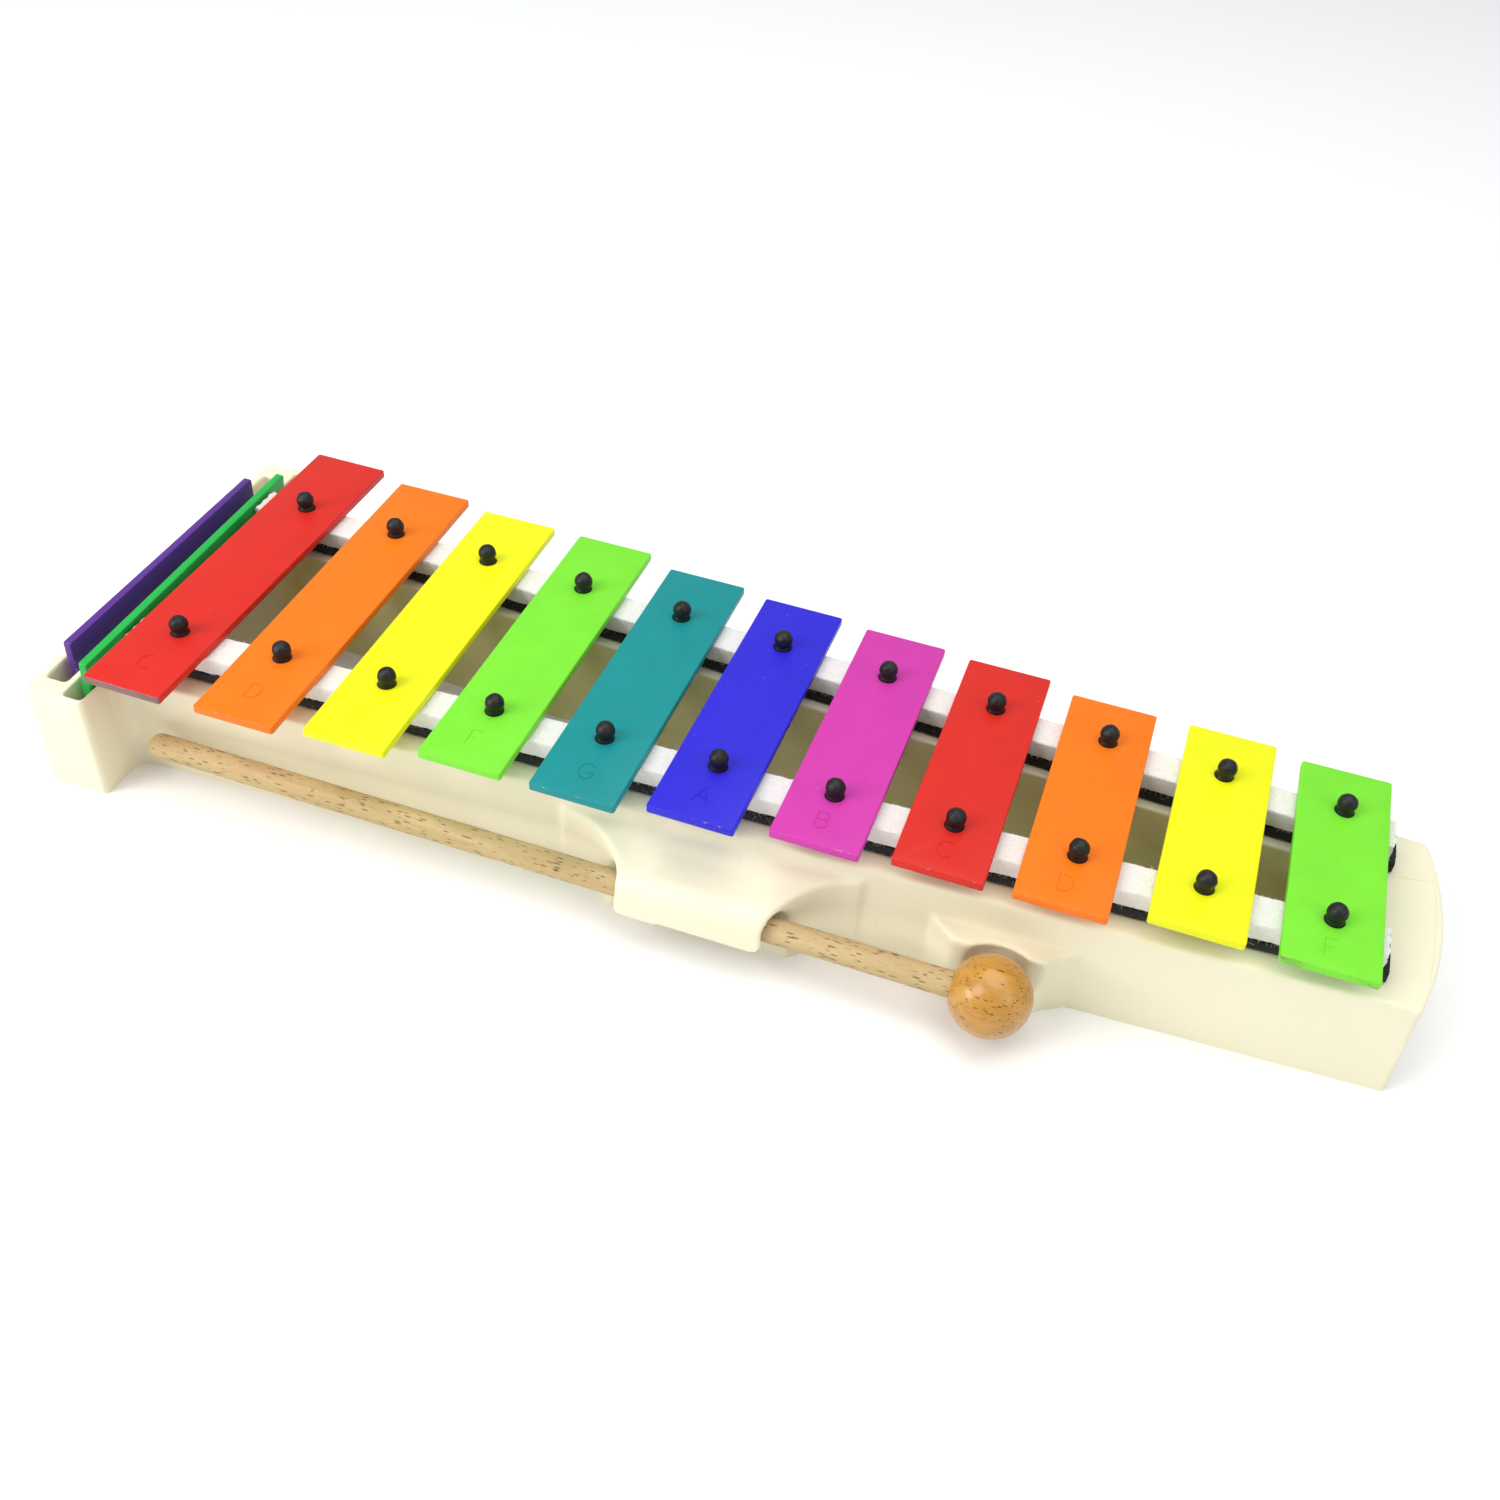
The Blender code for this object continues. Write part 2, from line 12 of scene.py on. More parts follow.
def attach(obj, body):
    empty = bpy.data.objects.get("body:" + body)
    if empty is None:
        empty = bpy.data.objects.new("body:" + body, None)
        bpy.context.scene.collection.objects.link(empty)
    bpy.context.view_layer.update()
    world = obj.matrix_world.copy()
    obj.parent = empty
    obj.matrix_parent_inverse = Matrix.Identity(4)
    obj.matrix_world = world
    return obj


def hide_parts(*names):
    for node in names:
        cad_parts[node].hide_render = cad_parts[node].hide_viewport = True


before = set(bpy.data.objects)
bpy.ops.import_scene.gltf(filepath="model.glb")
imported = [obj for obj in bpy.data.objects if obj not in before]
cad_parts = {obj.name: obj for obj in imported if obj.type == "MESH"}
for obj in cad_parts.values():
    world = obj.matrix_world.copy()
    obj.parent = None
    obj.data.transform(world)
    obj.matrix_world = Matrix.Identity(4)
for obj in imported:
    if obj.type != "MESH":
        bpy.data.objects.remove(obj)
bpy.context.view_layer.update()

MM = 0.001
rng = random.Random(11)

# Camera at the photograph's viewing angle
CAMERA_PLACE = (0.0771, -0.2603, 0.2722)
CAMERA_TURN = (47.221, -3.235, 19.181)
CAMERA_LENS = 37.33
CAMERA_SENSOR = 36.0

# Bar row
BAR_WIDTH = 20.0
BAR_THICKNESS = 2.0
BAR_PITCH = 26.6
BAR_UNDERSIDE_Z = 34.5
BAR_CORNER_RADIUS = 0.6
BAR_EDGE = 0.26
ROW_CENTRE_X = 1.1
BAR_HOLE_RADIUS = 2.25
BARS = (
    # node, letter, length, paint, sideways play, endways play, turn in degrees, bare metal at the front end
    ("bar_c_low", "C", 102.4, "red", -0.7, 0.9, -0.2, 0.85),
    ("bar_d_low", "D", 98.0, "orange", 0.4, -0.5, 0.5, 0.05),
    ("bar_e_low", "E", 92.7, "yellow", 0.0, -0.6, 0.6, 0.0),
    ("bar_f_low", "F", 89.1, "light_green", 0.2, 1.0, 0.1, 0.25),
    ("bar_g_low", "G", 84.9, "teal", 0.4, -1.0, 0.0, 0.1),
    ("bar_a", "A", 79.5, "blue", 0.0, -0.4, -0.3, 0.0),
    ("bar_b", "B", 74.8, "pink", 0.2, 0.2, -0.3, 0.0),
    ("bar_c_high", "C", 71.4, "red", 0.0, 0.5, -0.2, 0.05),
    ("bar_d_high", "D", 67.7, "orange", -0.7, -0.9, -0.2, 0.0),
    ("bar_e_high", "E", 64.0, "yellow", 0.3, 1.1, -0.4, 0.05),
    ("bar_f_high", "F", 61.9, "light_green", 0.0, -0.2, 0.3, 0.35),
)
PAINTS = {
    "red": (0.62, 0.020, 0.012),
    "orange": (0.85, 0.177, 0.004),
    "yellow": (0.80, 0.82, 0.004),
    "light_green": (0.185, 0.70, 0.031),
    "teal": (0.004, 0.245, 0.252),
    "blue": (0.023, 0.017, 0.57),
    "pink": (0.565, 0.038, 0.355),
    "green": (0.015, 0.41, 0.065),
    "purple": (0.098, 0.030, 0.25),
}
LETTER_HEIGHT = 4.8
LETTER_PLACE = 0.098  # middle of the letter, as a share of the bar's length from its front end
GROOVE_HALF_WIDTH = 0.125
GROOVE_DEPTH = 0.12
SPARE_HOLE_SHARE = 0.276  # from a spare bar's middle to a hole, as a share of its length

# Rails
PIN_LINE_MIDDLE = 22.7
PIN_LINE_SLOPE = 0.0415
STRIP_WIDTH = 8.6
BLACK_STRIP_Z = (26.6, 29.3)
BLACK_STRIP_X = (-143.3, 147.6)
FELT_Z = (29.6, 34.2)
FELT_X = {"front": (-144.0, 145.9), "back": (-145.0, 145.9)}
FELT_FREE_X = -142.8  # left of here no bar presses on the felt, and its end curls up
FELT_CURL = (1.1, 1.5)  # how far the end curls up, and over what length
FELT_FIBRES = (7500, (0.4, 1.2), 0.03)  # how many, their shortest and longest, radius
PILE_FIBRES = (4200, (0.25, 0.8), 0.04)
CLINGING_FIBRES = 46
PIN_BALL_RADIUS = 2.2
PIN_BALL_Z = 38.9
# The pin from its barb up to the neck below its ball, as radius and height
PIN_STEM = (
    (1.0, 20.8),
    (1.7, 21.6),
    (2.1, 22.6),
    (2.0, 22.9),
    (1.45, 23.6),
    (1.45, 26.6),
    (2.05, 26.7),
    (2.1, 27.0),
    (2.1, 34.4),
    (2.15, 36.2),
    (2.1, 36.8),
    (1.98, 37.1),
    (1.86, 37.35),
)
PIN_PIVOT_Z = 35.5  # a pin leans about this height
# How far each pin leans towards the short bars, in degrees, front row then back row
PIN_LEANS = (
    (2, 3.5, 4, 3.5, 3.5, 1, 0, 1, -1.5, -1.5, -1.5),
    (-3, 0, -1.5, 3, 3.5, 1.5, 1, -1, 0, 3, 0),
)

# Casing
CASING_HALF_LENGTH = 160.0
WALL = 2.3
RAIL_TOP_Z = 26.3
DRAFT = 0.8
OUTER_REACH = 10.2
OPENING_REACH = (9.9, 6.4)
OPENING_X = (-136.5, 134.0)
RIGHT_CORNER_X = 156.0
EDGE_ROUND = 1.4
BLOCK_X = (-160.0, -143.9)
BLOCK_HALF_DEPTH = 52.5
BLOCK_TOP_Z = 29.0
BLOCK_FILLET = 4.0
SLOT_FLOOR_Z = 16.3
SPARES = (
    # node, slot edges, slot half length and scoop, length, front end, lean, turn, foot, paint
    ("spare_bar_b_flat", (-157.2, -151.9), (46.6, 5.0), 76.0, -42.0, 1.5, 0.0, -153.6, "purple"),
    ("spare_bar_f_sharp", (-149.9, -144.6), (50.8, 3.6), 86.2, -47.0, 5.8, 0.9, -147.87, "green"),
)
SPARE_CLEARANCE = 0.3
CASING_VOXEL = 0.5
CASING_KEEP = 0.3  # share of the casing's faces kept after thinning
FOOT_EXTRA = 2.0
CUT_FOOT_Z = -4.0  # cutters that are open to the table start here

# Mallet and its holder
MALLET_Y = -43.0
MALLET_Z = 12.5
STICK_RADIUS = 3.0
STICK_X = (-135.2, 73.0)
HEAD_RADIUS = 9.15
HEAD_X = 71.2
HEAD_BORE_RADIUS = 3.25
HOLDER_FRONT_Y = -48.7
HOLDER_FRONT_SLOPE = 0.02
HOLDER_X = (-13.3, 20.8)
HOLDER_LEFT_FLARE = 18.3
HOLDER_RIGHT_FLARE = ((20.8, -48.7), (23.0, -38.5), (29.0, -33.2), (38.5, -31.6))
HOLDER_LEG_FOOT_Z = 9.0
HOLDER_LEG_CORNER = 1.8
CHANNEL_Y = (-46.8, -39.2)
CHANNEL_ARCH_Z = 13.6
HOLDER_PROFILE = (
    (-29.0, 0.0),
    (-29.0, 23.9),
    (-34.0, 22.3),
    (-37.5, 20.4),
    (-41.0, 19.6),
    (-44.6, 19.2),
    (-47.0, 18.3),
    (-48.3, 16.5),
    (HOLDER_FRONT_Y, 14.0),
    (HOLDER_FRONT_Y, 0.0),
)
REST_TOP_Z = 17.9
REST_PLAN = (
    (53.9, -30.1),
    (60.4, -35.3),
    (79.6, -35.3),
    (81.0, -33.5),
    (82.8, -31.8),
    (85.2, -30.5),
    (88.0, -28.6),
)
REST_ROOT_Y = -26.5
SCOOP_RADIUS = 11.2
HEAD_PATH_RADIUS = 9.6
RIDGE_HALF_WIDTH = 0.14
# Moulded border on the bowed end, in plan
PANEL_BORDER = ((143.0, 10.9), (147.8, 11.7), (157.0, 13.5), (158.0, 2.0), (157.6, -10.1), (156.5, -16.9))


# ---------------------------------------------------------------- shapes


def pin_line(x):
    return PIN_LINE_MIDDLE - PIN_LINE_SLOPE * (x - ROW_CENTRE_X)


def arc(centre, radii, start, end, steps):
    points = []
    for step in range(steps + 1):
        angle = math.radians(start + (end - start) * step / steps)
        points.append((centre[0] + radii[0] * math.cos(angle), centre[1] + radii[1] * math.sin(angle)))
    return points


def bezier(corners, steps):
    points = []
    for step in range(steps + 1):
        t = step / steps
        weights = ((1 - t) ** 3, 3 * t * (1 - t) ** 2, 3 * t * t * (1 - t), t**3)
        points.append(tuple(sum(w * corner[axis] for w, corner in zip(weights, corners)) for axis in (0, 1)))
    return points


def link_mesh(name, solid):
    """An object in the scene from a bmesh built in millimetres."""
    bmesh.ops.scale(solid, vec=(MM,) * 3, verts=solid.verts)
    bmesh.ops.recalc_face_normals(solid, faces=solid.faces)
    mesh = bpy.data.meshes.new(name)
    solid.to_mesh(mesh)
    solid.free()
    made = bpy.data.objects.new(name, mesh)
    bpy.context.scene.collection.objects.link(made)
    return made


def loft(lower, upper):
    solid = bmesh.new()
    low = [solid.verts.new(point) for point in lower]
    high = [solid.verts.new(point) for point in upper]
    solid.faces.new(low[::-1])
    solid.faces.new(high)
    for i in range(len(low)):
        j = (i + 1) % len(low)
        solid.faces.new((low[i], low[j], high[j], high[i]))
    bmesh.ops.recalc_face_normals(solid, faces=solid.faces)
    return solid


def upright(lower, z_low, z_high, upper=None):
    upper = upper or lower
    return loft([(x, y, z_low) for x, y in lower], [(x, y, z_high) for x, y in upper])


def along_x(profile, x_low, x_high):
    return loft([(x_low, y, z) for y, z in profile], [(x_high, y, z) for y, z in profile])


def box_outline(x_low, x_high, y_low, y_high):
    return [(x_low, y_low), (x_high, y_low), (x_high, y_high), (x_low, y_high)]


def at_height(edge, z):
    return all(abs(vert.co.z - z) < 1e-4 for vert in edge.verts)


def round_edges(solid, choose, width, segments):
    edges = [edge for edge in solid.edges if choose(edge)]
    bmesh.ops.bevel(
        solid, geom=edges, offset=width, segments=segments, profile=0.5, affect="EDGES", clamp_overlap=True
    )


def add_cylinder(solid, radius, centre, z_low, z_high, sides):
    place = Matrix.Translation((centre[0], centre[1], (z_low + z_high) / 2))
    depth = z_high - z_low
    bmesh.ops.create_cone(
        solid, cap_ends=True, segments=sides, radius1=radius, radius2=radius, depth=depth, matrix=place
    )


def rod_along_x(radius, x_low, x_high, y, z, sides):
    rod = bmesh.new()
    place = Matrix.Translation(((x_low + x_high) / 2, y, z)) @ Matrix.Rotation(math.pi / 2, 4, "Y")
    bmesh.ops.create_cone(
        rod, cap_ends=True, segments=sides, radius1=radius, radius2=radius, depth=x_high - x_low, matrix=place
    )
    return rod


def turned(profile, sides):
    """A closed solid of revolution about Z from (radius, height) points, bottom to top."""
    solid = bmesh.new()
    rings = []
    for radius, height in profile:
        if radius < 1e-6:
            rings.append([solid.verts.new((0.0, 0.0, height))])
            continue
        angles = [2 * math.pi * k / sides for k in range(sides)]
        rings.append([solid.verts.new((radius * math.cos(a), radius * math.sin(a), height)) for a in angles])
    for low, high in zip(rings, rings[1:]):
        for k in range(sides):
            quad = [low[k % len(low)], low[(k + 1) % len(low)]]
            quad += [high[(k + 1) % len(high)], high[k % len(high)]]
            solid.faces.new(list(dict.fromkeys(quad)))
    for ring, turn in ((rings[0], -1), (rings[-1], 1)):
        if len(ring) > 1:
            solid.faces.new(ring[::turn])
    return solid


def settle(obj):
    """Applies the object's modifiers to its mesh."""
    graph = bpy.context.evaluated_depsgraph_get()
    mesh = bpy.data.meshes.new_from_object(obj.evaluated_get(graph), depsgraph=graph)
    obj.modifiers.clear()
    old = obj.data
    obj.data = mesh
    bpy.data.meshes.remove(old)


def combine(target, steps, use_self=False):
    """Joins or cuts target with each (operation, tool) and removes the tools."""
    for operation, tool in steps:
        change = target.modifiers.new(tool.name, "BOOLEAN")
        change.operation = operation
        change.object = tool
        change.solver = "EXACT"
        change.use_self = use_self
    settle(target)
    for _, tool in steps:
        bpy.data.objects.remove(tool, do_unlink=True)


def finish_mesh(obj, look, angle=35.0):
    obj.data.materials.clear()
    obj.data.materials.append(look)
    obj.data.shade_smooth()
    obj.data.set_sharp_from_angle(angle=math.radians(angle))


# ---------------------------------------------------------------- materials


class Look:
    """A Principled material and the few nodes that its surface needs."""

    def __init__(self, name, **constants):
        self.material = bpy.data.materials.new(name)
        self.material.use_nodes = True
        self.tree = self.material.node_tree
        self.shader = self.tree.nodes["Principled BSDF"]
        for socket, value in constants.items():
            self.shader.inputs[socket.replace("_", " ")].default_value = value
        self.place = self.tree.nodes.new("ShaderNodeTexCoord").outputs["Object"]

    def wire(self, source, target):
        if isinstance(source, (int, float)):
            target.default_value = source
        elif isinstance(source, tuple):
            target.default_value = (*source, 1.0) if len(source) == 3 else source
        else:
            self.tree.links.new(source, target)

    def put(self, socket, source):
        self.wire(source, self.shader.inputs[socket])

    def scaled(self, size, stretch=(1, 1, 1), shift=(0, 0, 0)):
        """Coordinates where one unit is size millimetres, stretched along each axis."""
        node = self.tree.nodes.new("ShaderNodeMapping")
        node.inputs["Scale"].default_value = [1.0 / (size * MM * s) for s in stretch]
        node.inputs["Location"].default_value = shift
        self.wire(self.place, node.inputs["Vector"])
        return node.outputs["Vector"]

    def noise(self, size, detail=2.0, stretch=(1, 1, 1), shift=(0, 0, 0), distortion=0.0):
        node = self.tree.nodes.new("ShaderNodeTexNoise")
        node.inputs["Scale"].default_value = 1.0
        node.inputs["Detail"].default_value = detail
        node.inputs["Distortion"].default_value = distortion
        self.wire(self.scaled(size, stretch, shift), node.inputs["Vector"])
        return node.outputs["Fac"]

    def cells(self, size, stretch=(1, 1, 1), shift=(0, 0, 0)):
        node = self.tree.nodes.new("ShaderNodeTexVoronoi")
        node.inputs["Scale"].default_value = 1.0
        self.wire(self.scaled(size, stretch, shift), node.inputs["Vector"])
        return node.outputs["Distance"]

    def attribute(self, name, channel):
        node = self.tree.nodes.new("ShaderNodeAttribute")
        node.attribute_name = name
        split = self.tree.nodes.new("ShaderNodeSeparateColor")
        self.wire(node.outputs["Color"], split.inputs["Color"])
        return split.outputs[channel]

    def band(self, source, low, high, to_low=0.0, to_high=1.0):
        node = self.tree.nodes.new("ShaderNodeMapRange")
        node.clamp = True
        for socket, value in (("From Min", low), ("From Max", high), ("To Min", to_low), ("To Max", to_high)):
            node.inputs[socket].default_value = value
        self.wire(source, node.inputs["Value"])
        return node.outputs["Result"]

    def maths(self, operation, a, b=0.0):
        node = self.tree.nodes.new("ShaderNodeMath")
        node.operation = operation
        self.wire(a, node.inputs[0])
        self.wire(b, node.inputs[1])
        return node.outputs["Value"]

    def mix(self, amount, a, b):
        node = self.tree.nodes.new("ShaderNodeMix")
        node.data_type = "RGBA"
        self.wire(amount, node.inputs["Factor"])
        self.wire(a, node.inputs["A"])
        self.wire(b, node.inputs["B"])
        return next(out for out in node.outputs if out.type == "RGBA")

    def bump(self, height, depth, strength=1.0):
        """Surface relief whose full height is depth millimetres."""
        node = self.tree.nodes.new("ShaderNodeBump")
        node.inputs["Strength"].default_value = strength
        node.inputs["Distance"].default_value = depth * MM
        self.wire(height, node.inputs["Height"])
        self.put("Normal", node.outputs["Normal"])


def tinted(colour, factor):
    factors = factor if isinstance(factor, tuple) else (factor,) * 3
    return tuple(min(1.0, c * f) for c, f in zip(colour, factors))


def ivory_plastic():
    look = Look("ivory_plastic", Roughness=0.38, Specular_IOR_Level=0.4)
    ivory = (0.82, 0.775, 0.575)
    cloud = look.noise(34.0, 3.0)
    colour = look.mix(look.band(cloud, 0.35, 0.65), ivory, tinted(ivory, (0.98, 0.975, 0.955)))
    # painted shade: on the faces marked inside the well the plastic is tinted yellower, standing in for the
    # shade and bounced light there
    well_shade_tint = tinted(ivory, (0.98, 0.97, 0.68))
    colour = look.mix(look.attribute("inside", "Red"), colour, well_shade_tint)
    scuff = look.band(look.noise(0.7, 4.0, stretch=(6, 1, 1)), 0.66, 0.76)
    colour = look.mix(look.maths("MULTIPLY", scuff, 0.16), colour, tinted(ivory, 0.82))
    speck = look.band(look.cells(7.0), 0.03, 0.018)
    colour = look.mix(look.maths("MULTIPLY", speck, 0.55), colour, (0.30, 0.25, 0.17))
    look.put("Base Color", colour)
    look.put("Roughness", look.band(look.noise(2.5, 4.0), 0.3, 0.7, 0.32, 0.44))
    look.bump(look.noise(0.45, 3.0), 0.02, 0.5)
    return look.material


def painted_metal(name, colour):
    look = Look(name + "_paint", Specular_IOR_Level=0.25)
    rim = look.attribute("wear", "Red")
    bare = look.attribute("wear", "Green")
    cloud = look.band(look.noise(9.0, 4.0), 0.3, 0.7)
    shade = look.mix(cloud, colour, tinted(colour, 0.93))
    grain = look.band(look.noise(0.28, 2.0), 0.35, 0.68)
    shade = look.mix(look.maths("MULTIPLY", grain, 0.16), shade, tinted(colour, 0.70))
    dust = look.band(look.cells(1.9), 0.062, 0.03)
    rare = look.band(look.noise(4.0, 2.0, shift=(3, 1, 2)), 0.5, 0.64)
    dust = look.maths("MULTIPLY", look.maths("MULTIPLY", dust, rare), 0.5)
    shade = look.mix(dust, shade, (0.86, 0.84, 0.80))
    chips = look.band(look.noise(1.1, 5.0, shift=(5, 0, 0)), 0.60, 0.66)
    worn = look.maths("MULTIPLY", look.maths("MULTIPLY", chips, rim), 0.75)
    shade = look.mix(worn, shade, (0.27, 0.25, 0.24))
    rub = look.maths("ADD", look.noise(1.6, 4.0, stretch=(3, 1, 1), shift=(0, 4, 0)), bare)
    metal = look.maths("MULTIPLY", look.band(rub, 0.85, 1.12), look.band(bare, 0.0, 0.04))
    streaks = look.noise(0.5, 3.0, stretch=(5, 1, 1), shift=(1, 1, 0))
    shade = look.mix(metal, shade, look.mix(streaks, (0.27, 0.16, 0.155), (0.15, 0.075, 0.075)))
    look.put("Base Color", shade)
    look.put("Metallic", look.maths("MULTIPLY", metal, 0.25))
    look.put("Roughness", look.band(look.noise(1.4, 4.0), 0.3, 0.7, 0.33, 0.44))
    peel = look.maths("ADD", look.noise(0.34, 2.0), look.maths("MULTIPLY", look.noise(1.3, 3.0), 0.6))
    look.bump(peel, 0.014, 0.75)
    return look.material


def white_felt():
    look = Look("white_felt", Roughness=0.95, Specular_IOR_Level=0.15, Sheen_Weight=0.35, Sheen_Roughness=0.6)
    base = (0.84, 0.83, 0.80)
    matted = look.band(look.noise(0.5, 5.0, distortion=0.8), 0.3, 0.72)
    colour = look.mix(matted, base, tinted(base, (0.84, 0.83, 0.80)))
    soiled = look.band(look.noise(6.0, 3.0), 0.45, 0.7, 0.0, 0.35)
    colour = look.mix(soiled, colour, tinted(base, (0.93, 0.91, 0.86)))
    look.put("Base Color", colour)
    look.bump(look.noise(0.3, 5.0, distortion=1.2), 0.16, 0.8)
    return look.material


def black_velour():
    look = Look("black_velour", Roughness=0.9, Specular_IOR_Level=0.2, Sheen_Weight=0.25, Sheen_Roughness=0.5)
    pile = look.band(look.noise(0.35, 4.0), 0.35, 0.7)
    colour = look.mix(pile, (0.0045, 0.0045, 0.0055), (0.017, 0.017, 0.020))
    lint = look.band(look.noise(0.55, 3.0, stretch=(1, 1, 4)), 0.72, 0.8)
    colour = look.mix(look.maths("MULTIPLY", lint, 0.35), colour, (0.16, 0.16, 0.17))
    look.put("Base Color", colour)
    look.bump(look.noise(0.3, 4.0), 0.2, 0.9)
    return look.material


def loose_fibre():
    look = Look("loose_fibre", Roughness=0.8)
    look.put("Base Color", look.mix(look.noise(0.8), (0.40, 0.40, 0.40), (0.62, 0.61, 0.58)))
    return look.material


def black_rubber():
    look = Look("black_rubber", Specular_IOR_Level=0.35)
    dust = look.band(look.cells(0.55), 0.14, 0.06)
    thin = look.band(look.noise(1.2, 3.0), 0.54, 0.66)
    colour = look.mix(look.noise(0.5, 3.0), (0.004, 0.004, 0.005), (0.009, 0.009, 0.010))
    amount = look.maths("MULTIPLY", look.maths("MULTIPLY", dust, thin), 0.22)
    look.put("Base Color", look.mix(amount, colour, (0.35, 0.35, 0.36)))
    look.put("Roughness", look.band(look.noise(0.5, 4.0), 0.3, 0.7, 0.38, 0.52))
    look.bump(look.noise(0.3, 3.0), 0.05, 0.8)
    return look.material


def beech(name, pale, dark, fleck, long_fleck, **constants):
    """Beech cut along X: slow bands of colour, fine pores and short dark ray flecks."""
    look = Look(name, **constants)
    bands = look.noise(2.6, 3.0, stretch=(9, 1, 1), distortion=0.6)
    colour = look.mix(look.band(bands, 0.32, 0.70), pale, dark)
    pores = look.band(look.noise(0.2, 3.0, stretch=(9, 1, 1)), 0.50, 0.72)
    colour = look.mix(look.maths("MULTIPLY", pores, 0.30), colour, tinted(dark, 0.60))
    flecks = None
    for shift in ((0, 0, 0), (31, 17, 5)):
        dashes = look.band(look.cells(0.72, stretch=(long_fleck, 1, 1), shift=shift), 0.29, 0.19)
        patch = look.band(look.noise(1.7, 2.0, stretch=(2, 1, 1), shift=shift), 0.47, 0.55)
        dashes = look.maths("MULTIPLY", dashes, patch)
        flecks = dashes if flecks is None else look.maths("MAXIMUM", flecks, dashes)
    colour = look.mix(look.maths("MULTIPLY", flecks, 0.85), colour, fleck)
    grain = look.noise(0.25, 3.0, stretch=(8, 1, 1))
    relief = look.maths("SUBTRACT", grain, look.maths("MULTIPLY", flecks, 0.8))
    return look, colour, relief


def plain_beech():
    look, colour, relief = beech(
        "plain_beech",
        (0.56, 0.42, 0.215),
        (0.46, 0.33, 0.15),
        (0.14, 0.08, 0.035),
        5.5,
        Specular_IOR_Level=0.3,
    )
    knots = look.band(look.cells(5.5, stretch=(2.2, 1, 1), shift=(0.3, 0.1, 0.6)), 0.10, 0.055)
    colour = look.mix(look.maths("MULTIPLY", knots, 0.85), colour, (0.08, 0.035, 0.015))
    look.put("Base Color", colour)
    look.put("Roughness", look.band(look.noise(0.8, 3.0), 0.3, 0.7, 0.55, 0.72))
    look.bump(relief, 0.05, 0.6)
    return look.material


def varnished_beech():
    look, colour, relief = beech(
        "varnished_beech",
        (0.54, 0.275, 0.042),
        (0.42, 0.190, 0.024),
        (0.075, 0.026, 0.005),
        7.0,
        Coat_Weight=0.5,
        Coat_Roughness=0.18,
        Specular_IOR_Level=0.35,
    )
    look.put("Base Color", colour)
    look.put("Roughness", look.band(look.noise(1.2, 3.0), 0.3, 0.7, 0.30, 0.42))
    look.bump(relief, 0.03, 0.5)
    return look.material


# ---------------------------------------------------------------- casing


def casing_outline(inset):
    start_x = BLOCK_X[1]
    fillet_x = start_x + BLOCK_FILLET
    side_y = pin_line(fillet_x) + OUTER_REACH - inset
    centre_y = side_y + BLOCK_FILLET
    right_x = RIGHT_CORNER_X - inset
    right_y = pin_line(RIGHT_CORNER_X) + OUTER_REACH - inset
    bow = CASING_HALF_LENGTH - RIGHT_CORNER_X
    bow_radius = (right_y * right_y + bow * bow) / (2 * bow)
    bow_half = math.degrees(math.asin(right_y / bow_radius))
    bow_centre = (right_x + bow - bow_radius, 0.0)
    front = [(start_x - 6.0, -centre_y), (start_x, -centre_y)]
    front += arc((fillet_x, -centre_y), (BLOCK_FILLET, BLOCK_FILLET), 180, 90, 10)[1:]
    back = [(x, -y) for x, y in reversed(front)]
    return front + arc(bow_centre, (bow_radius, bow_radius), -bow_half, bow_half, 24) + back


def casing_body():
    body = upright(casing_outline(0.0), 0.0, RAIL_TOP_Z, casing_outline(DRAFT))
    end = RIGHT_CORNER_X - DRAFT - 0.01

    def is_long_edge(edge):
        return at_height(edge, RAIL_TOP_Z) and min(vert.co.x for vert in edge.verts) < end

    round_edges(body, is_long_edge, EDGE_ROUND, 6)
    return body


def left_block():
    inset = DRAFT / 2
    lower = box_outline(BLOCK_X[0], BLOCK_X[1], -BLOCK_HALF_DEPTH, BLOCK_HALF_DEPTH)
    upper = box_outline(
        BLOCK_X[0] + inset, BLOCK_X[1] - inset / 2, -BLOCK_HALF_DEPTH + inset, BLOCK_HALF_DEPTH - inset
    )
    block = upright(lower, 0.0, BLOCK_TOP_Z, upper)
    round_edges(block, lambda edge: abs(edge.verts[0].co.z - edge.verts[1].co.z) > 1.0, 1.5, 5)
    return block


def mallet_holder():
    left_wall_y = -pin_line(HOLDER_X[0]) - OUTER_REACH
    left_centre = (HOLDER_X[0] - HOLDER_LEFT_FLARE, HOLDER_FRONT_Y)
    left = arc(left_centre, (HOLDER_LEFT_FLARE, left_wall_y - HOLDER_FRONT_Y - 1.2), 90, 0, 20)
    right = bezier(HOLDER_RIGHT_FLARE, 20)
    plan = [(left[0][0], HOLDER_PROFILE[0][0])] + left + right + [(right[-1][0], HOLDER_PROFILE[0][0])]
    return upright(plan, 0.0, 26.0)


def holder_section(x):
    shift = HOLDER_FRONT_SLOPE * (x - HOLDER_X[0])
    return [(x, y + shift, z) for y, z in HOLDER_PROFILE]


def leg_cutter():
    """What is taken away below the holder's front leg, whose lower corners are rounded."""
    r = HOLDER_LEG_CORNER
    left, right = HOLDER_X
    outline = arc((left + r, HOLDER_LEG_FOOT_Z + r), (r, r), 180, 270, 8)
    outline += arc((right - r, HOLDER_LEG_FOOT_Z + r), (r, r), 270, 360, 8)
    outline += [(right + 30.0, HOLDER_LEG_FOOT_Z + r), (right + 30.0, CUT_FOOT_Z)]
    outline += [(left - 30.0, CUT_FOOT_Z), (left - 30.0, HOLDER_LEG_FOOT_Z + r)]
    near, far = HOLDER_FRONT_Y - 2.0, CHANNEL_Y[1] - 0.2
    return loft([(x, near, z) for x, z in outline], [(x, far, z) for x, z in outline])


